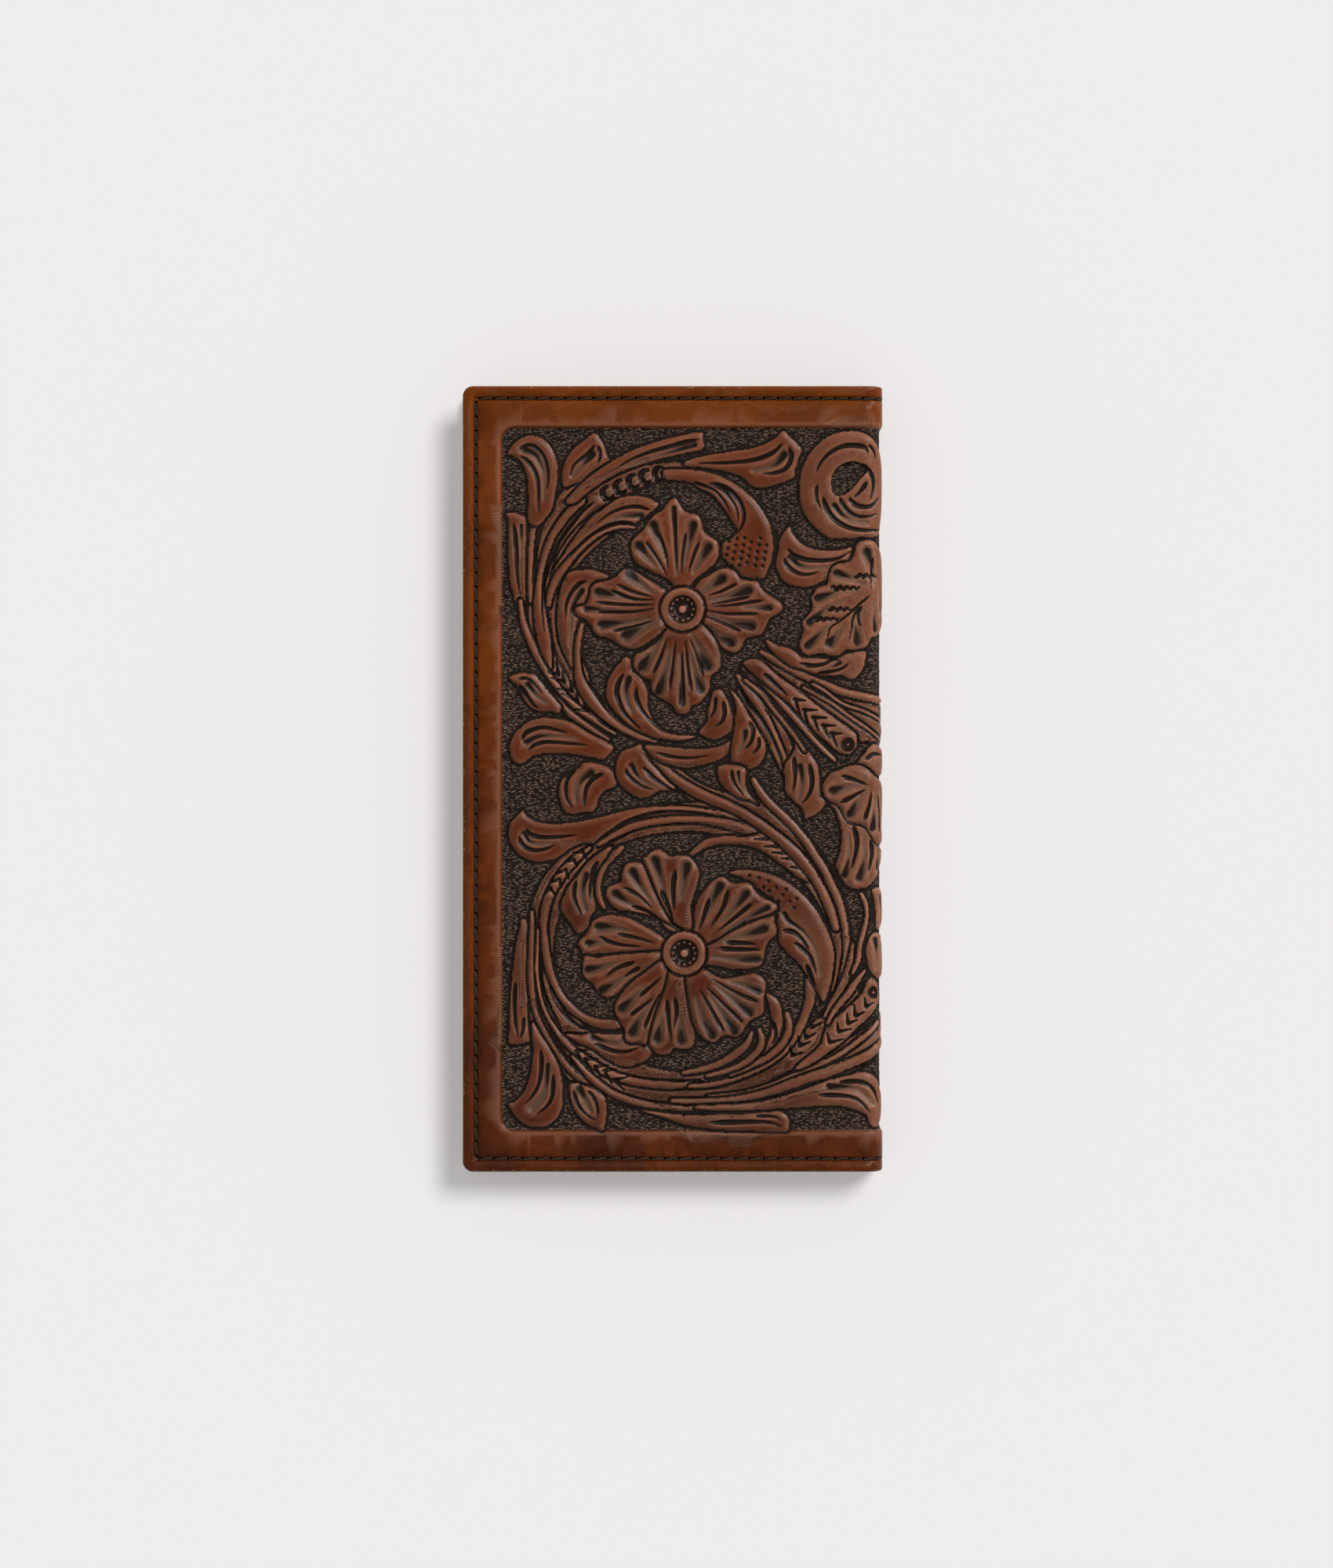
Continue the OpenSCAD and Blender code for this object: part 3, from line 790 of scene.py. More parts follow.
def cover_lines(wrap):
    """The lines of points across and along one half: fine in the field, coarse in the borders"""
    s = sizes()
    cell = mm(s.cell)
    rim, groove = mm(s.rim), mm(s.groove_width)

    def border(edge, field, seam):
        """From the outer edge in to the tooled field"""
        out = [edge + rim * (1 - math.cos(a)) for a in np.linspace(0, math.pi / 2, 4)][:-1]
        out += steps(edge + rim, seam - groove, BORDER_STEP / 2)
        out += steps(seam - groove, seam + groove, cell / 1.4)
        out += steps(seam + groove, field - 1.5, BORDER_STEP)
        return out + steps(field - 1.5, field, cell * 1.5)

    seam = wrap.free + mm(s.seam_inset)
    field_u = mm(BACK_LOW.x) + mm(s.border_side)
    u = border(wrap.free, field_u, seam) + steps(field_u, wrap.end, cell) + [wrap.end]
    low = -wrap.half_length
    field_v = low + mm(s.border_end)
    end = border(low, field_v, low + mm(s.seam_inset))
    v = end + steps(field_v, -field_v, cell) + [-a for a in end[::-1]]
    v.insert(len(v) - len(end), -field_v)
    return np.array(u), np.unique(np.round(v, 6))


def stitch_places(a, b):
    """Middles of the stitches on a run from a to b"""
    pitch = mm(sizes().pitch)
    count = math.floor((b - a) / pitch + 1e-6)
    return [(a + b) / 2 + (i - (count - 1) / 2) * pitch for i in range(count)]


def seam_runs(wrap):
    """Place and direction of each stitch in the groove of one half"""
    s = sizes()
    seam_u = wrap.free + mm(s.seam_inset)
    seam_v = wrap.half_length - mm(s.seam_inset)
    runs = [(u, side * seam_v, 1, 0) for side in (-1, 1)
            for u in stitch_places(seam_u, wrap.end)]
    return runs + [(seam_u, v, 0, 1) for v in stitch_places(-seam_v, seam_v)]


def waves(u, v, size):
    """Slow, soft unevenness of the hide, between -1 and 1"""
    count = int((v[-1] - v[0]) / size) + 6
    knots = np.random.default_rng(11).uniform(-1, 1, (count, count))
    a, b = (u - u[0]) / size, (v - v[0]) / size
    i, j = a.astype(int), b.astype(int)
    s, t = ease(a - i)[:, None], ease(b - j)[None, :]
    low = knots[np.ix_(i, j)] * (1 - s) + knots[np.ix_(i + 1, j)] * s
    high = knots[np.ix_(i, j + 1)] * (1 - s) + knots[np.ix_(i + 1, j + 1)] * s
    return low * (1 - t) + high * t


def cover_relief(wrap, u, v):
    """The tooled face of one half on its lines of points"""
    s = sizes()
    work = Tooling(u, v, mm(s.field_depth))
    field_u = mm(BACK_LOW.x) + mm(s.border_side)
    field_v = wrap.half_length - mm(s.border_end)
    uu, vv = u[:, None], v[None, :]
    into, _, _ = wrap.rim_distance(uu, vv, mm(s.field_corner), field_u, field_v)
    work.field = ease(into / 0.5 + 0.5)
    work.height = -work.depth * ease(into / 0.9 + 0.35)
    # A painted highlight on the lip at the field's edge
    work.rub = 0.3 * np.exp(-((into + 0.5) / 0.35) ** 2)
    draw_tooling(work)
    work.height = work.height + 0.05 * waves(u, v, 2.2)
    work.ground = work.field * (1 - work.cover) * ease((into - 0.1) / 0.4)
    work.height = np.maximum(work.height, -work.depth - 0.35)
    noise = np.random.default_rng(7).normal(size=work.height.shape)
    for axis in (0, 1):
        noise = (np.roll(noise, 1, axis) + noise + np.roll(noise, -1, axis)) / 3
    work.height = work.height + 0.10 * noise * work.ground
    for axis in (0, 1):
        middle = np.roll(work.height, 1, axis) + np.roll(work.height, -1, axis)
        work.height = 0.5 * work.height + 0.25 * middle
    # Height against its surroundings: the crest mask lightens ridges, as wear and painted highlight, and
    # the hollow mask darkens hollows, as antique paste and painted shade
    around = work.height
    for axis in (0, 1):
        around = sum(np.roll(around, k, axis) for k in range(-4, 5)) / 9
    over = (work.height - around) * work.field * (0.35 + 0.65 * work.cover)
    work.crest = np.clip((over - 0.03) / 0.22, 0, 1)
    work.hollow = np.clip((-over - 0.03) / 0.25, 0, 1)
    seam_u = uu - (wrap.free + mm(s.seam_inset))
    seam_v = np.abs(vv) - (wrap.half_length - mm(s.seam_inset))
    along_end = np.where(seam_u >= 0, np.abs(seam_v), np.hypot(seam_u, seam_v))
    along_side = np.where(seam_v <= 0, np.abs(seam_u), np.hypot(seam_u, seam_v))
    off = np.minimum(along_end, along_side) / (0.5 * mm(s.groove_width))
    groove = 1 - ease((off - 0.35) / 0.75)
    work.height = np.minimum(work.height, 0.02) - mm(s.groove_depth) * groove
    # The stitch groove darkened with dye and painted shade
    work.dye = np.maximum(work.dye, 0.2 * groove)
    # Dark holes at the ends of each stitch, dented and darkened with painted shade
    half = 0.5 * mm(s.pitch)
    for a, b, da, db in seam_runs(wrap):
        for way in (-half, half):
            work.dot(a + way * da, b + way * db, 0.5, 0.2)
    return work


def open_edge(quads):
    """The closed row of points round the outside of a patch of faces"""
    edges = np.concatenate([quads[:, [0, 1]], quads[:, [1, 2]], quads[:, [2, 3]], quads[:, [3, 0]]])
    key = np.sort(edges, 1)
    _, first, counts = np.unique(
        key[:, 0] * 10 ** 7 + key[:, 1], return_index=True, return_counts=True
    )
    follow = {int(a): int(b) for a, b in edges[first[counts == 1]]}
    loop = [next(iter(follow))]
    while follow[loop[-1]] != loop[0]:
        loop.append(follow[loop[-1]])
    return np.array(loop)


def underside(wrap, rim_u, rim_v):
    """Points and triangles that close the flesh side inside its rim"""
    lattice_u = np.concatenate([
        np.arange(wrap.free + 4, wrap.bend - 3, 6.0),
        np.arange(wrap.bend - 2.5, wrap.end - 0.4, 0.7),
    ])
    lattice_v = np.arange(-wrap.half_length + 4, wrap.half_length - 3, 5.0)
    grid = np.stack(np.meshgrid(lattice_u, lattice_v, indexing="ij"), -1).reshape(-1, 2)
    flat = [Vector(p) for p in np.vstack([np.stack([rim_u, rim_v], -1), grid])]
    rim_edges = [(i, (i + 1) % len(rim_u)) for i in range(len(rim_u))]
    got = delaunay_2d_cdt(flat, rim_edges, [], 1, 1e-7)
    return np.array([p[:] for p in got[0]]), np.array(got[2])[:, ::-1]


def hide_half(wrap, name, material):
    """One half of the tooled cover, from its free edge to the middle of the spine"""
    s = sizes()
    u, v = cover_lines(wrap)
    work = cover_relief(wrap, u, v)
    uu, vv = np.meshgrid(u, v, indexing="ij")
    corner, rim = mm(s.corner_radius), mm(s.rim)
    depth_in, nx, ny = wrap.rim_distance(uu, vv, corner)
    outside = depth_in < 1e-6
    uu = uu + np.where(depth_in < 0, depth_in * nx, 0)
    vv = vv + np.where(depth_in < 0, depth_in * ny, 0)
    near = np.clip(rim - np.maximum(depth_in, 0), 0, rim)
    drop = rim - np.sqrt(rim ** 2 - near ** 2)
    height = np.minimum(work.height, 0) - drop
    index = np.arange(uu.size).reshape(uu.shape)
    quads = np.stack([index[:-1, :-1], index[1:, :-1], index[1:, 1:], index[:-1, 1:]], -1)
    lost = outside[:-1, :-1] & outside[1:, :-1] & outside[1:, 1:] & outside[:-1, 1:]
    quads = quads[~lost]
    used = np.unique(quads)
    renumber = np.full(uu.size, -1)
    renumber[used] = np.arange(len(used))
    quads = renumber[quads]
    flat_u, flat_v = uu.ravel()[used], vv.ravel()[used]
    flat_h = height.ravel()[used]
    names = ("dye", "rub", "sheen", "hatch", "phase", "ground", "field", "crest", "hollow")
    layers = {n: getattr(work, n).ravel()[used] for n in names}
    edge_layer = ease((rim - depth_in.ravel()[used]) / rim)
    loop = open_edge(quads)
    lu, lv = flat_u[loop], flat_v[loop]
    _, ox, oy = wrap.rim_distance(lu, lv, corner)
    cut_side = (lu > wrap.end - 1e-6) & (np.abs(lv) < wrap.half_length - 1e-6)
    thickness = mm(s.leather)
    faces, last = [quads], loop
    all_u, all_v, all_h = [flat_u], [flat_v], [flat_h]
    base = len(flat_u)
    for inset, level in ((0.0, rim), (0.18, 0.18), (rim, 0.0)):
        push = np.where(cut_side, 0.0, inset)
        all_u.append(np.where(lu > wrap.end - 1e-6, lu, lu - push * ox))
        all_v.append(lv - push * oy)
        all_h.append(np.full(len(loop), level - thickness))
        ring = base + np.arange(len(loop))
        faces.append(np.stack([last, ring, np.roll(ring, -1), np.roll(last, -1)], -1))
        last = ring
        base += len(loop)
    verts, under = underside(wrap, all_u[-1], all_v[-1])
    all_u.append(verts[:, 0])
    all_v.append(verts[:, 1])
    all_h.append(np.full(len(verts), -thickness))
    points = wrap.place(*(np.concatenate(a) for a in (all_u, all_v, all_h)))
    extra = len(points) - len(flat_u)
    layers = {n: np.concatenate([a, np.zeros(extra)]) for n, a in layers.items()}
    layers["edge"] = np.concatenate([edge_layer, np.ones(extra)])
    tris = [np.concatenate([f[:, [0, 1, 2]], f[:, [0, 2, 3]]]) for f in faces]
    piece = new_mesh(name, points, np.concatenate([*tris, under + base]), layers, material)
    outward(piece)
    shrink = piece.modifiers.new("thin", "DECIMATE")
    shrink.ratio = min(1.0, HIDE_TRIANGLES / len(piece.data.polygons))
    finished(piece)
    piece.data.shade_smooth()
    return piece


def arc(x, y, radius, start, stop, count=8):
    """Points of an arc; angles are in degrees"""
    angles = np.radians(np.linspace(start, stop, count + 1))
    return [(x + radius * math.cos(a), y + radius * math.sin(a)) for a in angles]


def round_plate(x0, y0, x1, y1, radii, notch=()):
    """Outline of a rectangle with round corners, from the first corner round anticlockwise.
    notch holds points that go in on the way from the third corner's side"""
    r0, r1, r2, r3 = radii
    return (
        arc(x0 + r0, y0 + r0, r0, 180, 270) + arc(x1 - r1, y0 + r1, r1, 270, 360)
        + list(notch) + arc(x1 - r2, y1 - r2, r2, 0, 90) + arc(x0 + r3, y1 - r3, r3, 90, 180)
    )


def even_loop(points, step):
    """A closed outline with points no further apart than a step"""
    out = []
    for a, b in zip(points, points[1:] + points[:1]):
        gap = math.dist(a, b)
        if gap < 1e-4:
            continue
        count = max(1, math.ceil(gap / step))
        out += [(a[0] + (b[0] - a[0]) * i / count, a[1] + (b[1] - a[1]) * i / count)
                for i in range(count)]
    return np.array(out)


def inset_loop(loop, distance):
    """A closed outline moved to its left by a distance"""
    ahead = np.roll(loop, -1, 0) - loop
    ahead /= np.maximum(np.linalg.norm(ahead, axis=1)[:, None], 1e-9)
    behind = np.roll(ahead, 1, 0)
    normal = np.stack([-(ahead + behind)[:, 1], (ahead + behind)[:, 0]], 1)
    size = np.linalg.norm(normal, axis=1)[:, None]
    normal /= np.maximum(size, 1e-9)
    stretch = np.clip(2 / np.maximum(size, 1e-9), 1, 1.5)
    return loop + normal * distance * stretch


def flat_face(lines, lattice):
    """Points and triangles that fill an outline with holes, on a lattice inside them"""
    rim = np.concatenate(lines)
    low, high = rim.min(0) + 3, rim.max(0) - 2
    sides = [np.arange(a, b, lattice) for a, b in zip(low, high)]
    grid = np.stack(np.meshgrid(*sides, indexing="ij"), -1).reshape(-1, 2)
    away = np.full(len(grid), 1e3)
    for a in rim:
        away = np.minimum(away, np.hypot(*(grid - a).T))
    grid = grid[inside(lines, *grid.T) & (away > 0.8)]
    start, edges = 0, []
    for line in lines:
        edges += [(start + i, start + (i + 1) % len(line)) for i in range(len(line))]
        start += len(line)
    got = delaunay_2d_cdt([Vector(p) for p in (*rim, *grid)], edges, [], 1, 1e-7)
    middles = np.array([np.mean([got[0][i][:] for i in face], axis=0) for face in got[2]])
    kept = [face for face, here in zip(got[2], inside(lines, *middles.T)) if here]
    return [p[:] for p in got[0]], kept


def leather_sheet(name, outlines, level, thick, material, up, floor=None, crease=1.5,
                  lattice=5.0):
    """A flat piece of leather or film with softened edges and a creased line inside them.
    The first outline is the outside and the others are holes; level is its side on the cover"""
    soft = min(0.22, thick / 2.5)
    rings = [(soft, 0.0, 1.0), (0.0, soft, 1.0), (0.0, thick - soft, 1.0), (soft, thick, 0.7)]
    if crease:
        rings += [(crease + a, thick - b, 0.0) for a, b in ((-0.45, 0.0), (0.0, 0.14), (0.45, 0.0))]
    layers = {"edge": [], "crease": []}
    points, faces, top_loops, low_loops = [], [], [], []
    for loop in outlines:
        loop = even_loop(loop, 1.2)
        count = len(loop)
        for i, (inset, height, edge) in enumerate(rings):
            ring = inset_loop(loop, inset)
            start = len(points)
            points += [(x, y, height) for x, y in ring]
            layers["edge"] += [edge] * count
            layers["crease"] += [1.0 if crease and inset == crease else 0.0] * count
            ids = list(range(start, start + count))
            if i == 0:
                low_loops.append(ids)
            else:
                last = [a - count for a in ids]
                faces += [
                    (last[j], last[(j + 1) % count], ids[(j + 1) % count], ids[j])
                    for j in range(count)
                ]
        top_loops.append(ids)
    for loops, height, turn in ((top_loops, thick, 1), (low_loops, 0.0, -1)):
        lines = [np.array([points[i][:2] for i in loop]) for loop in loops]
        flat, kept = flat_face(lines, lattice)
        base = len(points)
        points += [(*p, height) for p in flat]
        layers["edge"] += [0.0] * len(flat)
        layers["crease"] += [0.0] * len(flat)
        faces += [tuple(base + i for i in face[::turn]) for face in kept]
    points = np.array(points)
    if floor:
        points[:, 2] += floor(points[:, 1])
    points[:, 2] = level + up * points[:, 2]
    piece = new_mesh(name, points * MM, faces, layers, material)
    outward(piece)
    return piece


def lining_half(wrap, name, material):
    """Half of the glued lining, from its free edge over the fold to the spine's middle"""
    s = sizes()
    inset, corner = mm(s.inset), 2.0
    u0, top = wrap.free + inset, wrap.half_length - inset
    u = np.array([u0, u0 + 0.3, u0 + 0.7, u0 + 1.3, u0 + corner]
                 + steps(u0 + corner + 1, wrap.bend - 1, 4.0)
                 + steps(wrap.bend - 1, wrap.end, 0.5) + [wrap.end])
    side = [top, top - 0.3, top - 0.7, top - 1.3, top - corner]
    v = np.array([-a for a in side] + steps(-top + corner + 2, top - corner, 4.0) + side[::-1])
    uu, vv = np.meshgrid(u, v, indexing="ij")
    cx, cy = np.maximum(u0 + corner - uu, 0), np.maximum(np.abs(vv) - (top - corner), 0)
    far = np.maximum(np.hypot(cx, cy), 1e-9)
    pull = np.where((cx > 0) & (cy > 0), np.minimum(corner / far, 1), 1)
    uu = np.where(cx > 0, u0 + corner - cx * pull, uu)
    vv = np.where(cy > 0, np.sign(vv) * (top - corner + cy * pull), vv)
    count = uu.size
    index = np.arange(count).reshape(uu.shape)
    quads = np.stack([index[:-1, :-1], index[1:, :-1], index[1:, 1:], index[:-1, 1:]], -1)
    quads = quads.reshape(-1, 4)
    rim = np.concatenate([index[:, 0], index[-1, 1:], index[-2::-1, -1], index[0, -2:0:-1]])
    skirt = np.stack([rim, rim + count, np.roll(rim, -1) + count, np.roll(rim, -1)], -1)
    low, high = -mm(s.leather), -mm(s.leather + s.lining)
    points = np.concatenate([
        wrap.place(uu.ravel(), vv.ravel(), np.full(count, h)) for h in (low, high)
    ])
    edge = np.zeros(2 * count)
    layers = {"edge": edge, "crease": edge}
    faces = np.concatenate([quads, quads[:, ::-1] + count, skirt])
    piece = new_mesh(name, points, faces, layers, material)
    outward(piece)
    return piece


def row(start, stop, up):
    """Stitches on a straight run: middle, way and up of each, in millimetres"""
    start, stop = np.array(start, float), np.array(stop, float)
    size = np.linalg.norm(stop - start)
    way = (stop - start) / size
    return [(start + way * t, way, np.array(up, float)) for t in stitch_places(0, size)]


def stitch_tree():
    """Node tree that puts one thread stitch on each point, turned to its way and up"""
    tree = bpy.data.node_groups.new("stitch_rows", "GeometryNodeTree")
    face = tree.interface
    face.new_socket("Geometry", in_out="INPUT", socket_type="NodeSocketGeometry")
    for name in ("Stitch length", "Thread thickness", "Dip"):
        face.new_socket(name, in_out="INPUT", socket_type="NodeSocketFloat")
    face.new_socket("Thread", in_out="INPUT", socket_type="NodeSocketMaterial")
    face.new_socket("Geometry", in_out="OUTPUT", socket_type="NodeSocketGeometry")
    node = Wire(tree, None).node
    source = tree.nodes.new("NodeGroupInput")
    given = {s.name: Wire(tree, s) for s in source.outputs if s.name}
    half, dip = given["Stitch length"] * 0.5, given["Dip"]
    low = node("ShaderNodeCombineXYZ", None, {0: -half, 2: -dip})
    high = node("ShaderNodeCombineXYZ", None, {0: half, 2: -dip})
    top = node("ShaderNodeCombineXYZ", None, {2: dip * 1.3})
    path = node("GeometryNodeCurveQuadraticBezier", None, {
        "Resolution": 6, "Start": low, "Middle": top, "End": high,
    })
    factor = node("GeometryNodeSplineParameter")
    store = {"data_type": "FLOAT", "domain": "POINT"}
    path = node("GeometryNodeStoreNamedAttribute", store, {
        "Geometry": path, "Name": "along", "Value": factor,
    })
    ring = node("GeometryNodeCurvePrimitiveCircle", None, {
        "Resolution": 7, "Radius": given["Thread thickness"] * 0.5,
    })
    ring = node("GeometryNodeStoreNamedAttribute", store, {
        "Geometry": ring, "Name": "around", "Value": factor,
    })
    tube = node("GeometryNodeCurveToMesh", None, {
        "Curve": path, "Profile Curve": ring, "Fill Caps": True,
    })
    way, up = (
        node("GeometryNodeInputNamedAttribute", {"data_type": "FLOAT_VECTOR"}, {"Name": name})
        for name in ("way", "up")
    )
    turn = node("FunctionNodeAxesToRotation",
                      {"primary_axis": "X", "secondary_axis": "Z"}, {0: way, 1: up})
    rows = node("GeometryNodeInstanceOnPoints", None, {
        "Points": given["Geometry"], "Instance": tube, "Rotation": turn,
    })
    rows = node("GeometryNodeRealizeInstances", None, {0: rows})
    rows = node("GeometryNodeSetShadeSmooth", None, {0: rows})
    rows = node("GeometryNodeSetMaterial", None, {0: rows, "Material": given["Thread"]})
    end = tree.nodes.new("NodeGroupOutput")
    tree.links.new(rows.socket, end.inputs[0])
    return tree


def stitch_piece(name, rows, thread, thick=1.0):
    """One mesh of all the stitches in these rows"""
    s = sizes()
    tree = bpy.data.node_groups.get("stitch_rows") or stitch_tree()
    mesh = bpy.data.meshes.new(name)
    mesh.from_pydata([list(m * MM) for m, _, _ in rows], [], [])
    for layer, place in (("way", 1), ("up", 2)):
        store = mesh.attributes.new(layer, "FLOAT_VECTOR", "POINT")
        store.data.foreach_set("vector", np.array([r[place] for r in rows], np.float32).ravel())
    piece = bpy.data.objects.new(name, mesh)
    bpy.context.scene.collection.objects.link(piece)
    sew = piece.modifiers.new("sew", "NODES")
    sew.node_group = tree
    given = {
        "Stitch length": s.stitch, "Thread thickness": s.thread * thick,
        "Dip": s.thread * 0.3, "Thread": thread,
    }
    for item in tree.interface.items_tree:
        if item.in_out == "INPUT" and item.name in given:
            sew[item.identifier] = given[item.name]
    return finished(piece)


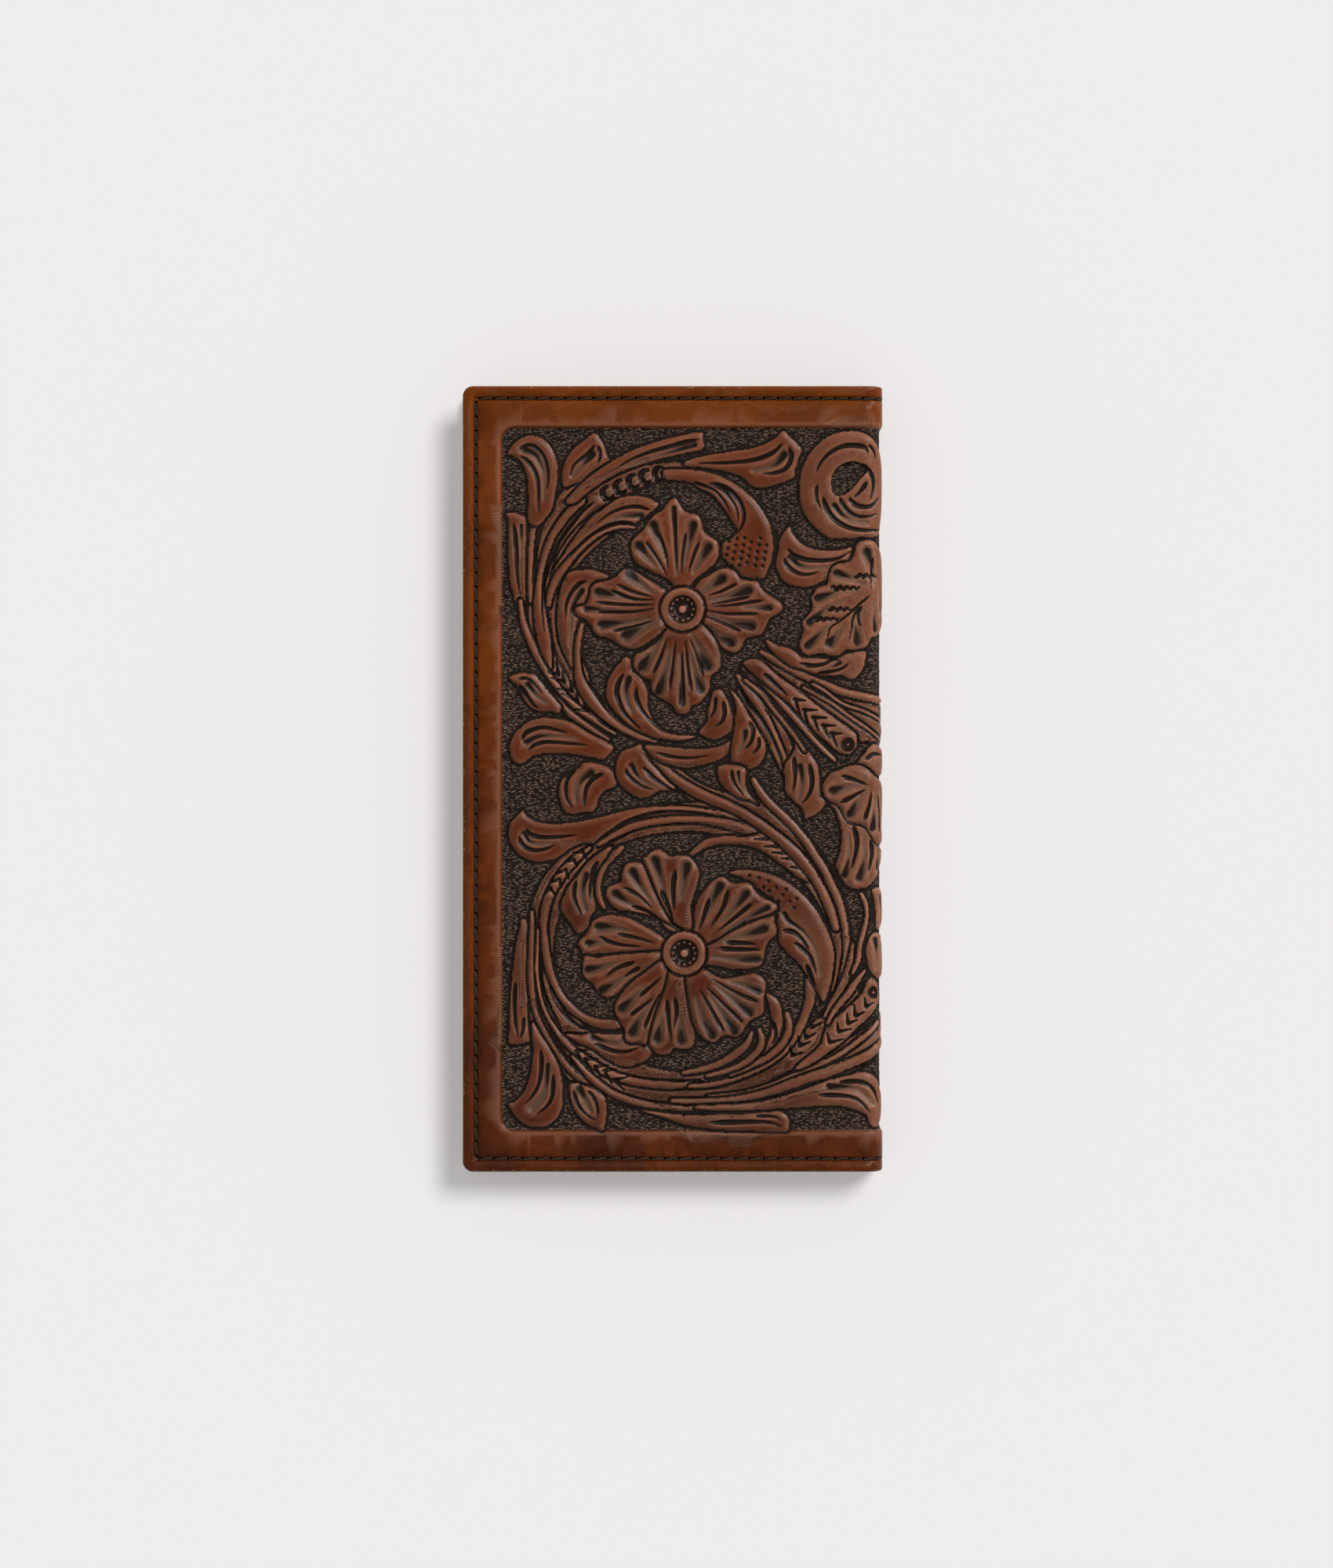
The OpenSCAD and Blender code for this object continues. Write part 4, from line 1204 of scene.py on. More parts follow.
FIRST_STROKES = """
# Low bands that tie the strands of each ring together
band 2,69.8,1.8 -6,68.4,2.2 -14,65,2.8 -21,60,3.6 -26,53.6,4.2 -28.4,46,3.8 -29,38,3.4 -28,30.6,3.8
 -24.8,24,3.8 -20,17.6,3.2 -14,12.4,2.2
band -6,61.4,2.2 -12,59.6,2.8 -18,55.6,3 -23,50,2.6 -25.4,43.6,2 -25.2,36,2.4 -23.6,29,2.6 -20.6,22.4,2
band -4,5.2,2 1,.2,2 8,-4.4,2.4 17,-7.6,3.6 23,-12,4.4 29,-17,3.8 34,-24,3.2 37,-31,2.4 38.4,-39,2
 37,-46,2.6
band 14,-10,3.6 6,-8.6,3.2 -2,-9,3.2 -10,-10.6,3.2 -16,-14,3 -21,-18.4,3.2 -25.6,-23.6,3.6 -28.6,-30,3.4
 -29.8,-38,3 -29,-46,3.2 -26,-54,3.8 -21,-60.5,4.4 -14,-66,4.6 -6,-69,4.4 2,-70,4 10,-69.8,4 18,-68.2,4.4
 26,-65,4.6 32,-61,4.8 37,-55,4 39.6,-48,2.4
band 24,-70,2.4 32,-66.6,2.8 40,-62.4,3.4 48,-58,3.8 52,-56,3.6
band 17,25.4,1.4 21,23.4,4 26,20,5 33,16,6 41,14,5.4 48,13,5 52,12.6,5
band 16.6,20,1.8 21,14,2.4 24.6,7,2.4 27,1,2 28.6,-4,1.6
# Stems of the two corner leaves and the two small leaves
ribbon -28.6,63,1.9 -28.9,59.5,1.6 -30.2,55.5,1.3 -31.4,51,1 -32,46.5,.8 -32.2,41,.5
ribbon -19.4,69.4,1.4 -22.4,65.4,1.5 -25.2,61.6,1.4 -27.6,57.6,1.1 -29.2,53,.8 -30,48,.5
ribbon -28.6,-62,2 -30.2,-57.6,1.5 -31.4,-52,1.1 -31.8,-46,.8 -31.6,-40,.6
ribbon -19.6,-70,1.4 -22.6,-66.4,1.3 -25.6,-62,1.1 -28.4,-56.8,.8 -30,-51,.5
# Stems and leaves round the lower flower, on the left and along the bottom
raised -33.7,-7.1 -33.1,-8 -31.6,-9.1 -29.6,-9.8 -26.6,-10.1 -23.7,-9.9 -20.2,-9.4 -16.1,-8.5 -12.5,-7.6
 -9.6,-6.9 -6.6,-6.4 -2.2,-6.1 2.2,-6.1 7.4,-6.7 11.8,-7.3 14.8,-8 17.4,-9.2 12,-9.4 6,-8.4 0,-8.4 -5,-9.2
 -9,-10.4 -12.5,-12 -16,-14.2 -20.2,-14.6 -22.5,-15.4 -24.3,-16.7 -26.4,-18 -28.7,-18.6 -31.1,-18.6
 -33.4,-17.9 -35.2,-16.4 -36.4,-14.6 -36.9,-12.6 -36.6,-10.2 -35.5,-8.8
cut .7 .4 -33,-11.1 -32.2,-12.3 -30.5,-13 -27.8,-13.2 -24.9,-13 -21.4,-12.6
cut .7 .4 -34.4,-12.9 -34,-14.4 -32.8,-15.5 -30.8,-16.1 -28.7,-15.8 -26.4,-14.9
scoop .8 .5 -33.4,-12.3 -32.2,-14.1 -30.2,-14.6 -27.2,-14.4
shade .7 -26,-13.8 -23.4,-14.6 -21,-14.4
cut .7 -17.1,-14.1 -15.5,-12.9 -13.1,-11.4 -10.2,-9.6 -7.2,-8.5 -3.7,-7.6 .7,-7.3 5.9,-7.6 8.9,-8 11.8,-8.3
ribbon -16.6,-14.8,.5 -12.5,-12.4,.7 -9,-10.8,.8 -5,-9.8 0,-9.2 6,-9.2 10,-9.7,.9 14,-10.6,1.1 17.5,-11.8,1
 20.2,-13.4,.5
shade .6 -19.9,-20.5 -16.9,-17 -12.5,-14.4 -7.2,-11.7 -1.1,-10.8 5.9,-10.4 13.3,-11.2 18.6,-12.9
ribbon -11.4,-15.5,.6 -13.4,-17.3,.8 -15.2,-19.4 -16.4,-22 -16.8,-24.6 -16.4,-27 -15.2,-29.1,.3
raised -13.6,-15 -17.4,-17.4 -19.6,-19.4 -21.4,-21.8 -23.2,-24 -24.3,-26.1 -25.2,-28.8 -24.3,-30.8
 -22.8,-32.9 -21.2,-34.9 -19,-33.5 -18.4,-31.4 -17.2,-29 -17.8,-26 -17.6,-22.8 -16.6,-20 -14.8,-17.6
cut .8 -.4 -16.6,-18.4 -17.6,-20.2 -18.2,-22.9 -18.5,-25.2 -18.3,-27.6
scoop 1 .7 -19.4,-21.7 -20.2,-24.4 -20.2,-27 -19.4,-29.6
cut .7 -21.6,-22.9 -22.1,-25.2 -21.8,-27.6 -20.5,-30.6
ribbon -18.6,-15.6,.4 -22,-18.3,.9 -24.6,-21.2,1 -26.8,-24.6 -28.4,-28.6,1 -29,-33,.9 -28.6,-38 -27.9,-42,.9
 -26.8,-45.5,.8 -25,-49 -22.6,-51.8,.9 -19.5,-54 -16,-55.2,1.1 -12.5,-55.3,1.1 -9.6,-54.6,.4
chevrons -22.5,-16.7/-20.2,-16.4/-19.3,-18.2 -24.3,-18.8/-22.2,-18.2/-21.4,-19.9
 -26.4,-21.4/-24,-20.5/-23.3,-22.6 -27.8,-23.5/-25.5,-22.6/-24.9,-24.6 -29.3,-26.4/-27.5,-24.6/-26.1,-26.4
cut .7 -27.8,-46.3 -26.1,-49.8 -24,-53.1 -21.4,-55.4 -18.4,-56.6 -15.5,-57 -12.5,-56.6
raised -34.5,-34 -34,-31.6 -32.6,-32.4 -32.7,-38 -32.6,-48 -32.4,-56 -31.9,-58.9 -33.1,-59.5 -35.2,-59.8
 -36.9,-59.5 -36.8,-56.6 -36.4,-47.8 -35.5,-39
cut .7 .5 -35.3,-45.7 -35.5,-50.7 -35.3,-55.1 -34.7,-58.1
cut .6 -33.4,-53.6 -33.6,-56.6 -34.3,-58.4
shade .7 -33.7,-37 -33.7,-44 -33.9,-51
ribbon -31.6,-30,.4 -31.5,-36,.8 -31.7,-44 -31.5,-49,.7 -30.6,-53,.6 -29,-56.6 -27.2,-59.8 -24.4,-63.8,.7
 -21.4,-67 -17.6,-70 -13.4,-72,.6 -9,-73.4,.5
shade .7 -31.1,-50.1 -28.7,-56.6 -25.5,-62.5 -21.4,-67.5 -16.6,-71
ribbon -30.3,-34,.3 -30.3,-44.8,.4 -28.9,-51.6 -26,-56.9,.5 -23,-60.4,.7 -19.4,-63.2,.8 -15,-66,.9
 -10.8,-67.6 -6,-68.6 0,-69 6,-68.6,.5
cut .7 -29.6,-39 -29.6,-44.2 -28.9,-47.8 -27.8,-50.7 -26.4,-53.6 -24.9,-56.3
chevrons -18.7,-61/-21.6,-61.3/-20.2,-63.9 -16.6,-63.1/-19.7,-63.1/-18.4,-66
 -14.3,-64.5/-17.4,-64.8/-16.1,-67.5 -12.5,-65.4/-15.3,-65.7/-13.7,-68.6 -9.6,-67/-13.1,-67.8/-10.8,-70.1
raised -24,-57.4 -21,-57.6 -18,-57.2 -15,-57.4 -12,-57.4 -8.6,-57.4 -6.4,-58.4 -4.9,-60 -4.6,-62 -6.6,-63.8
 -9.6,-64.8 -12.5,-64.4 -15.5,-62.6 -18.4,-60.6 -21.4,-59.4
scoop 1 .6 -18,-58.2 -15.5,-59.2 -13,-59.6 -11,-59.2
cut .7 -.4 -17.6,-59.6 -14.6,-60.8 -12.5,-61.4 -10.2,-61.4 -7.4,-60.4
shade .6 -16,-62 -12,-63.6 -8,-63.6
ribbon -22.5,-62.5,.3 -18.4,-67.2,.8 -15.5,-69.5 -12.5,-71.3 -6.6,-73.2 0,-74,.7 6,-74.2,.5
shade .6 -8.1,-72.4 0,-74.4 8.9,-76.3
# Stems and the seeded crescent on the right of the lower ring
ribbon 18.3,-.2,.6 19.8,-2.9,.9 21.8,-5.4 24.5,-7.9 27.4,-10.8 30.1,-14.1 32.1,-17.3 34.2,-20.5 35.9,-24.1
 37.4,-27.3 38.3,-30.8 39,-34.1,.8 39.3,-37.6,.7 38.8,-41.9,.6 37.4,-47.8 35.1,-52.2,.4
shade .5 39.2,-36 38.7,-41.9 37.4,-47.4 35.6,-51.2
raised 3.2,-17.2 7,-13.9 10,-13 13,-12.8 17,-12.9 20,-12.2 22.4,-11.6 25,-13 27.6,-15 30,-17.6 31.8,-20.6
 31,-23 28.6,-22.4 26,-20.4 23.5,-18.6 21,-16.8 18.6,-15.6 16,-14.9 13,-14.7 10,-14.9 7,-15.9 4.6,-17.4
chevrons 20.6,-11.1/21.4,-13.5/18.3,-13.6 22.6,-12.9/23.6,-15.2/20.6,-15.2 24.9,-14.1/25.6,-16.7/22.4,-16.6
 26.7,-15.5/27.6,-18/24.5,-17.9 28.6,-17.3/29.5,-20.2/26.5,-19.8
cut .8 30.9,-22.3 32.4,-24.4 33.9,-26.7 35.1,-29.4 35.9,-31.7
ribbon 40.7,-37,.3 40.2,-41,.7 39.2,-44.6,.8 37.6,-48 35.6,-51.3,.7 34.4,-53.4,.4
shade .6 40.7,-37 40,-42 38,-47.4 36,-51
ribbon 30.9,-44,.9 31.2,-47.5,1.2 30.8,-50.5,1.1 29.8,-53.5,1 28.4,-56.6 26.4,-59.4,1 24,-62 21,-64.1,1
 17.5,-66,.8 13.5,-67.6,.7 9,-68.8,.6 4,-69.3,.5
chevrons 32,-51.3/33,-53.6/34.8,-51.6 30.6,-54.2/31.4,-56/33.9,-54.8 29.5,-56.3/30.1,-58.4/32.4,-57.2
 28.3,-57.8/28.7,-60.1/31.2,-59.2 26.5,-60.1/27,-62.3/29.5,-61.6
raised -.03 .18 13.3,-20.8 14.8,-20.5 17.7,-20.5 20.6,-21 23.6,-22 26.5,-23.6 28.9,-25.5 30.9,-27.6
 32.7,-29.9 34.2,-32.6 35.4,-35.2 36.3,-38 36.5,-40.4 36.1,-44.2 35.4,-47.2 34.2,-50.2 33.2,-49 32.4,-47.4
 30.6,-44.6 28.4,-41.6 26,-39.2 24.2,-37 23.8,-34.4 23.6,-31 24,-28.5 19,-24.5 15.6,-22.3 13,-21.4
scoop .8 .4 25.2,-30.4 26.2,-32 28,-33.2 29.8,-34.8 31.4,-37 32.7,-39.9 33.3,-44.4
cut .8 24.8,-34.1 27.1,-34.4 28.9,-35.8 30.8,-38.4
cut .8 27.5,-36.8 29.5,-38.4 31.2,-40.4 32.4,-43.9
cut .8 30.2,-41.7 31.2,-44.2 32.2,-46.9
seeds 19.5,-22.3 20.6,-24.4 21.8,-25.2 23.3,-24.4 24.8,-26.1 22.3,-26.9 23.9,-27.6 25.6,-24.9 26.4,-27.6
 27.4,-29 17.4,-21.8 21.6,-23 28,-27
# Bands and the curled leaf that sweep to the fold along the bottom
ribbon 47.6,-54.9,.6 45.3,-56.6 42.5,-58.6 40,-60.5 37.2,-62.4 34,-64 30.6,-65.4 27,-67 22.5,-69 16,-70.8,.5
 8,-71.6,.4
shade .8 47,-52.6 44,-55.2 41,-58 38.4,-60 35.6,-61.8
raised 44.5,-44.9 46.8,-45.6 47.8,-48.5 47.4,-50.8 45.4,-52.8 43.6,-54.4 40.9,-56.8 38.3,-59.4 35.4,-61.5
 32.4,-63.6 29.5,-65.2 27.6,-65.6 28.5,-64.2 31,-62.2 33.3,-60 34.2,-57.5 35.2,-55 37.7,-53 40.1,-51
 42.4,-48.6
chevrons 43.3,-49.2/43.6,-51.3/45.6,-50.4 40.9,-50.7/41.2,-53.4/43.3,-52.5 39.3,-52.8/39.6,-55.1/41.8,-54.2
 37.1,-54.8/37.4,-56.9/40.4,-56.3 34.9,-57.2/35.4,-59.4/38.6,-58.6
eye 1 .3 .3 45.5,-48.1
eye .5 -.3 45.5,-48.1
ribbon 43.4,-43.2,.3 41.7,-45.4,.7 40,-47.9,.8 38.1,-50.3,.7 36.3,-52.6,.6 35,-55,.4
ribbon 51,-58.6,.9 47.6,-60.4,1.1 44.4,-62.1 41.2,-63.6 38,-64.9 34.5,-66.2,1.2 30.5,-67.4,1.1 26.5,-68.9
 22.5,-70.3,.9 18,-71.5,.8 12,-72.4,.7 6,-72.7 0,-72.5,.5
shade .7 50,-57.2 47,-58.6 44,-60.2 41,-61.8 38,-63.2 35,-64.6
raised 5.5,-73.6 17.7,-73 23.6,-71.8 29.5,-70 33.9,-68.3 36.8,-67.4 39.8,-66.7 42,-66 44.4,-66.2 46.6,-67.4
 48.4,-69.6 49.4,-72.4 49.4,-75.4 48,-78 46,-78.6 44.8,-78 43.6,-75.8 41.2,-74.6 38.3,-73.8 34,-73.7
 28,-74.1 22,-74.6 14,-74.7 7,-74.6
cut .8 -.5 37.5,-68.3 41.2,-68.1 43.6,-68.6 45.6,-70.1 46.8,-73
scoop 1.1 .8 35.4,-69.4 41.2,-69.8 45.4,-73
cut .7 -.4 32.9,-71.2 36.8,-71.2 39.8,-71.5 42.1,-72.5 44.6,-75
shade .7 14,-73.6 20,-72.9 25,-71.8 30,-70.4 35,-69.2
raised -7,-74.6 3,-75.6 14.8,-75.4 20.6,-75.1 23.6,-74.8 25,-75.1 26.2,-76.3 26.5,-78.1 25.9,-79.3
 23.6,-79.4 10,-79 3,-78 -3,-76
cut .5 18.6,-75.9 22.6,-76 24.5,-76.9
cut .8 .4 8.6,-77.4 14.8,-77.3 19.2,-77.2 22.1,-77.4 24.5,-78.3
shade .6 3,-76 8,-76.4 13,-76.3
ribbon 21.2,-48.4,.4 22.8,-50.5,1.2 23.6,-53.5,1.3 23.5,-56.5,1.1 22.5,-59,.9 20.5,-61.5 17.5,-63.8,.7
 13.8,-65.6,.6 9,-66.9,.5
cut .7 22.1,-54.2 23.1,-56 23.3,-58.1 22.4,-59.8
ribbon 25.8,-53,.6 26.4,-55.6,.8 25.6,-58.4,.8 23.8,-60.8 21,-63,.7 17,-65,.6 13,-66.6,.5
ribbon 19.6,-56.5,.5 20.2,-59,.8 19.2,-61.4 16.6,-63.8,.7 13,-65.5,.6 8,-66.9,.5
ribbon 17.9,-57.2,.4 16.7,-59.8,.8 14,-62.2,.9 10.5,-64.2,.8 6.5,-65.5,.7 2.5,-66.2,.5
# Corner leaf and small leaf at the bottom left
raised -31.4,-54.8 -31.7,-58 -31.3,-61 -31.6,-63.9 -32.1,-66.9 -33.1,-69.8 -34.6,-71.9 -36.1,-72.9
 -36.9,-73.1 -36.4,-74.5 -35.2,-76.3 -33.4,-77.8 -31.1,-78.6 -28.7,-78.4 -26.6,-77.2 -25.2,-75.1 -24.6,-72.8
 -24.6,-69.8 -24.9,-67.2 -25.8,-63.9 -27.4,-61 -29.4,-58
cut .7 -.4 -29.6,-61 -29.4,-63.9 -29.6,-66.9 -30.2,-69.2 -31.4,-71.3 -33.1,-73.4
scoop .7 1.2 -28.1,-64.4 -28.4,-68.4 -29,-71.3 -31.4,-73.9
cut .7 .4 -26.8,-66.6 -26.8,-69.2 -27.2,-71.9 -28.4,-73.9 -30.5,-75.4
raised -15.5,-79.2 -14.9,-76.6 -14.7,-73.6 -15.5,-71.3 -18.6,-69.4 -22.8,-68.4 -23.1,-71.3 -22.5,-73.6
 -21.4,-75.7 -19.6,-77.5 -17.5,-78.6
cut .6 -.4 -22.3,-70.1 -21.4,-72.8 -20.2,-74.8 -18.4,-76.3 -17.2,-76.7
cut .6 -19,-70.1 -17.5,-72.2 -16.8,-74.2 -16.8,-76.3
scoop 1.2 .8 -21,-69.8 -18.4,-74.8
# Stems that sweep down the left of the upper flower, from the outside in
raised -37.5,59.8 -35.7,60.1 -34.1,59.5 -32.9,58.4 -32.9,51 -33,45 -33.1,38 -33.6,35.5 -35.1,39 -36,42
 -36.7,45 -36.9,52 -36.9,58
cut .7 -.6 -35.7,57.5 -35.4,55.2 -35.1,51.6 -35,49 -34.9,46.4 -34.6,43.7 -34.2,41.8
scoop .6 .4 -34,57 -34,50
shade .7 -33.9,49 -33.9,44 -33.9,39 -33.4,35.5 -32.2,31.6 -30.6,28.1 -28.6,24.7 -27.6,23.1
ribbon -34.2,40,.5 -33.7,36,.7 -32.4,32,.8 -30.6,28,.8 -28,23.6,.7 -25.3,20 -22.8,17.2 -20.4,15.2
 -17,12.9,.6 -13,10.3,.4
ribbon -29.6,21.6,.3 -27.4,19.3,.6 -25.2,16.9,.7 -22.5,14.2,.8 -18.5,11.2 -14.5,8.8,.5
shade .6 -28.1,19.9 -25.9,17 -23.9,14.5 -20,11.7 -14.5,8.4
shade .8 -24.9,62.2 -26.7,60.5 -28.1,58.5 -29.2,56.4 -30.1,54.8 -31.1,51.6 -31.6,46 -31.3,39
ribbon -29.6,61.5,.4 -30.9,58,.7 -31.7,53,.7 -32,47,.6 -31.9,40,.5
ribbon -20.4,62.6,.9 -23.3,59.9 -25.3,57.3 -26.9,54.8,.8 -28.1,52 -28.9,49.5,.7 -29.6,46.5 -30.1,43,.8
 -30,39,1.3 -29.5,35,1.5 -28.8,31 -28.2,28,1.1 -27.4,25.2,.4
cut .7 -.3 -17.4,62.5 -20.4,60.1 -23.2,56.6 -25.6,53.1 -27.2,49.5 -28.3,46 -28.9,42.8 -29.2,38 -28.8,33
shade .6 -14.2,61.4 -17.7,58.5 -21.1,54.8 -23.9,51.3 -26.7,47
raised -3.1,61.4 -4.3,62.8 -6.6,63.6 -9.6,63.8 -12.5,63 -15.5,61 -18.5,58.6 -21.5,55 -24.5,50.6 -27,46
 -27.9,39.8 -26.6,41.5 -25.2,45 -23,48.4 -20,51.8 -16.5,54.6 -13.4,56.3 -10,56.6 -7,58.4
cut .6 .4 -5,60.5 -8,61.3 -11,61 -14,59.8 -17,57.6
scoop .9 .5 -7,59.4 -11,59.2 -15,57.2
shade .5 -8,62.6 -12,62.2 -16,59.8 -20,55.8
ribbon -8.5,56.6,.3 -11,56.8,.45 -14,56.2 -17.7,54.3,.55 -21.1,51.3,.6 -23.9,48.1,.8 -26,45,.95 -27.3,42,.8
 -27.9,39.2,.6
cut .5 -8.4,57.5 -11,57.8 -14,57.3 -16.8,55.9 -20,53.4 -23,50
chevrons -26.2,26.6/-25.6,23.5/-28.1,24 -24.8,24.2/-24.4,21.9/-27.4,22.8 -23,22.2/-22.6,19.8/-26,20.3
 -21.6,19.9/-21.4,17.5/-24.9,19.4 -20.2,17.8/-19.3,15.4/-22.1,15.7
raised -14.2,45.6 -15.2,46.2 -16.8,46.8 -18.6,47.2 -20.7,47.1 -22.5,46.8 -23.9,46 -24.9,43.5 -25.7,40 -26,36
 -25.6,32 -24.6,28.6 -23,25.4 -21.4,23 -21.9,27 -22,31 -21.4,34.6 -20.4,37 -18.2,41 -16,44
shade .6 -24,45.2 -25.1,40 -25.5,36 -24.8,30.5 -23,26.6
cut .7 -.4 -19.3,44.5 -20.7,44.1 -22.6,42.1 -23.8,39.4 -24.1,36.4
scoop .9 .4 -20.4,42.4 -22.2,39.4 -22.8,35.5 -22.9,30
ribbon -20.3,34.8,.5 -21,32,.7 -21.3,29 -21.2,25,.8 -20.6,21.6,1.2 -18.6,18.2,1.3 -15.8,14.8,1.1
 -12.6,12.1,1 -8.6,9.9,.8 -3.7,8.5,.4
cut .7 -17.5,14.4 -15.5,12.6 -13.1,11.1 -10.8,9.9 -7.8,8.8
# Corner leaf, small leaf and the two long leaves along the top border
raised -27.2,60.5 -26.4,64 -25.8,67.5 -25.7,70 -26.3,72.8 -27.6,75.2 -29.4,76.8 -31.6,77.4 -33.6,77
 -35.4,75.8 -36.7,74.2 -37.1,73.1 -35.9,72.6 -34.3,71.6 -33.2,69.6 -32.6,67 -32.4,63 -32.4,58 -30.2,57
cut .7 -34.2,72.8 -32,70.9 -30.6,68.3 -30.1,65.5 -30.1,60
cut .7 -.6 -33.9,74.7 -32.2,75.2 -30.5,74.4 -29,72.6 -28.1,70 -27.9,67.5 -28.2,65.2
scoop 1 .4 -33.6,74.2 -31,73 -29.5,70.5 -28.8,68 -28.9,63
raised -17.4,77.9 -15.5,75.4 -14.7,73.1 -14.1,70.9 -17,68.2 -22,66.5 -24.4,65.7 -24.9,68.4 -24.6,70.1
 -23.9,72.2 -22.5,74.1 -20.2,76
cut .6 .5 -17.4,75.2 -18.8,73.5 -20.8,71.9 -22.3,70.4 -23,68.2
cut .6 -16.7,75 -16.2,72.8 -16.9,70.8
scoop 1.1 .6 -18,73.2 -20.3,70.8 -22.4,68.2
raised -24,62.5 -20,66.9 -16,70 -10,73.6 -4,75.9 2,77.4 6.6,78.1 7.1,76.2 6.9,74.2 3,73.3 -2,72.2 -8,70.4
 -13,68.3 -18,65.3 -22,62
cut .7 .4 6,76.4 3.5,76 0,75 -5,73.6 -9.5,71.8 -12,70.3
scoop .8 .4 5,75.3 -5,72.3 -10,70.5
shade .6 -25,62 -20,65.6 -13,69.2 -6,71.8
raised 24.9,78.5 26.2,77.5 28,75.7 29.2,74.2 28.6,72.2 27.7,69.5 27.4,67.8 23.6,66.3 20.6,65.6 18.3,65.7
 16.2,67.5 14.2,68.6 8.9,69.8 3,70.4 3,71.6 5.9,72.5 8.9,73.1 13.3,73.8 17.7,74.5 20.6,75.4 23.3,76.9
cut .7 .5 24.8,75.7 23.3,73.9 20.6,72.5 17.7,71.7 14.2,71.3 10.4,71.1 6,71.1
cut .8 26.2,74.8 26.8,72.8 26.2,70.7 24.8,69.4 22.4,68.8 20.1,68.8
scoop 1.2 .6 25.1,73.1 23.6,71.3 21.2,70.1 18.3,69.5
# Curled leaf at the top of the fold
raised -.03 28.6,63.4 28.6,66.3 28.9,68.6 29.8,71.3 31.2,73.6 33.3,75.9 35.6,77.5 38.3,78.2 41.2,78.4
 44.2,77.5 46.2,76.1 48.4,73.6 49.8,70.2 50.2,66 49.8,61.5 48.6,57.6 47.4,54.8 41.2,54.2 38.3,54.1 35.6,54.2
 33.9,55.1 32.1,56.6 30.4,58.6 29.2,61
pit 35.9,66.3 36.2,68.4 37.4,70.1 39.2,71.1 41.2,71.3 43,70.6 43.9,69.5 42.1,67.5 40.4,65.4 38.3,63.9
 36.5,64.2
cut .5 44.2,75.3 45.6,73.9 46.2,71.9
cut .8 .5 44.2,73.4 43.3,74.7 41.2,75.1 38.9,75 36.8,74.2 34.8,72.8 33.3,71 32.4,68.9
cut .5 32.7,66.3 32.4,64.5 32.7,62.5 33.6,60.7
cut .9 .5 33.9,63.6 34.5,61.6 35.6,59.5 37.4,57.8 39.8,56.6 42.7,56 45.6,56 47.4,56.1
cut .8 -.5 42.7,71 44.5,69.2 45.4,67.5 45.4,65.1 44.6,62.6
cut .7 37.7,63.6 38.3,61.9 39.8,60.1 41.8,59.1 44.2,59.1 46.5,59.8
cut .8 39.8,63.4 40.6,62.2 42.1,61.4 44.2,61.3 45.9,62.2 47.1,63.6
cut .7 43.9,66.9 42.4,64.8 40.9,63.4
scoop .9 .7 36.5,61.5 38.4,59.2 41,58 44,57.8
# Blade leaf and curled leaf at the left border, and the round leaf under them
raised -36.8,22.8 -35.7,23.5 -33.9,23.9 -32.2,23.8 -30.9,23.5 -28.8,20.8 -27.4,19.2 -26,17.6 -24.9,16.2
 -25.6,14.8 -27.4,15.2 -29.2,15.2 -30.6,15.4 -32,16.2 -33.1,17.5 -34.1,19.4 -35,21 -36.1,21.9
cut .5 -34.8,22.4 -33.4,22.7 -32,22.2 -30.6,20.8 -29.2,19.1
cut .8 .4 -34.5,21.2 -33.4,19.8 -32.5,18.4 -31.5,16.9 -30.1,15.9
scoop .9 .5 -32.6,21.2 -30.6,18.8 -28.4,17.2
raised -13.7,7.7 -18.4,10.2 -20.8,11.7 -23.1,12.9 -25.8,13.5 -29,13.8 -31.6,13.3 -33.7,12 -35.5,10.2
 -36.5,8.2 -36.6,6.1 -36.1,4.4 -34.6,3.2 -33.1,3.8 -31.9,4.8 -30.2,5.5 -27.2,5.8 -24.3,5.7 -21.4,5.4
 -18.4,4.8 -15.5,4.4 -14.3,5.5 -13.4,6.4
cut .7 .5 -33.9,8.5 -33.1,10.2 -31.4,11.1 -29,11.6 -26.4,11.1 -23.7,10.4
scoop .9 .3 -32.8,8.2 -30.2,9.4 -27.2,9.6 -24.3,9.5 -21.4,9.1
cut .6 -32.5,6.3 -31.1,7.6 -28.7,8.3 -25.8,8.2 -22.5,7.9 -19,7.6
raised -20.8,2.7 -23.1,1.5 -24.9,-.2 -25.6,-2.6 -25.2,-5.2 -24.3,-7.3 -22.5,-7.9 -20.2,-7.6 -17.8,-7.3
 -16.9,-5.8 -16.4,-4.1 -14.9,-2.6 -12.5,-1.4 -13.1,1.2 -14,2.4 -16.9,3.5 -19.9,3.8
cut .7 -.4 -21.6,2.1 -23.4,.4 -24,-2 -23.7,-4.6 -22.5,-6.4
cut .8 -15.5,1.2 -17.8,.1 -19.3,-2 -19.7,-4.4 -19.7,-6.1
scoop 1.1 .6 -18.4,1.5 -20.5,-.2 -21.6,-2.6 -21.6,-5.2
# Stems that fan out to the fold beneath the upper flower
ribbon 14.8,23.2,.5 16.8,20.2,.8 19.2,17,.9 21.2,13.8,.7 23,10.2,.55 24.5,6.7 25.6,3.8 26.2,1.1,.4
raised 25.3,3 25.3,0 25.4,-2.5 26.3,-4 27.6,-5.2 28.9,-6.4 29.6,-7.9 29.8,-9.1 32,-8.2 33.9,-6.6 34.7,-5.2
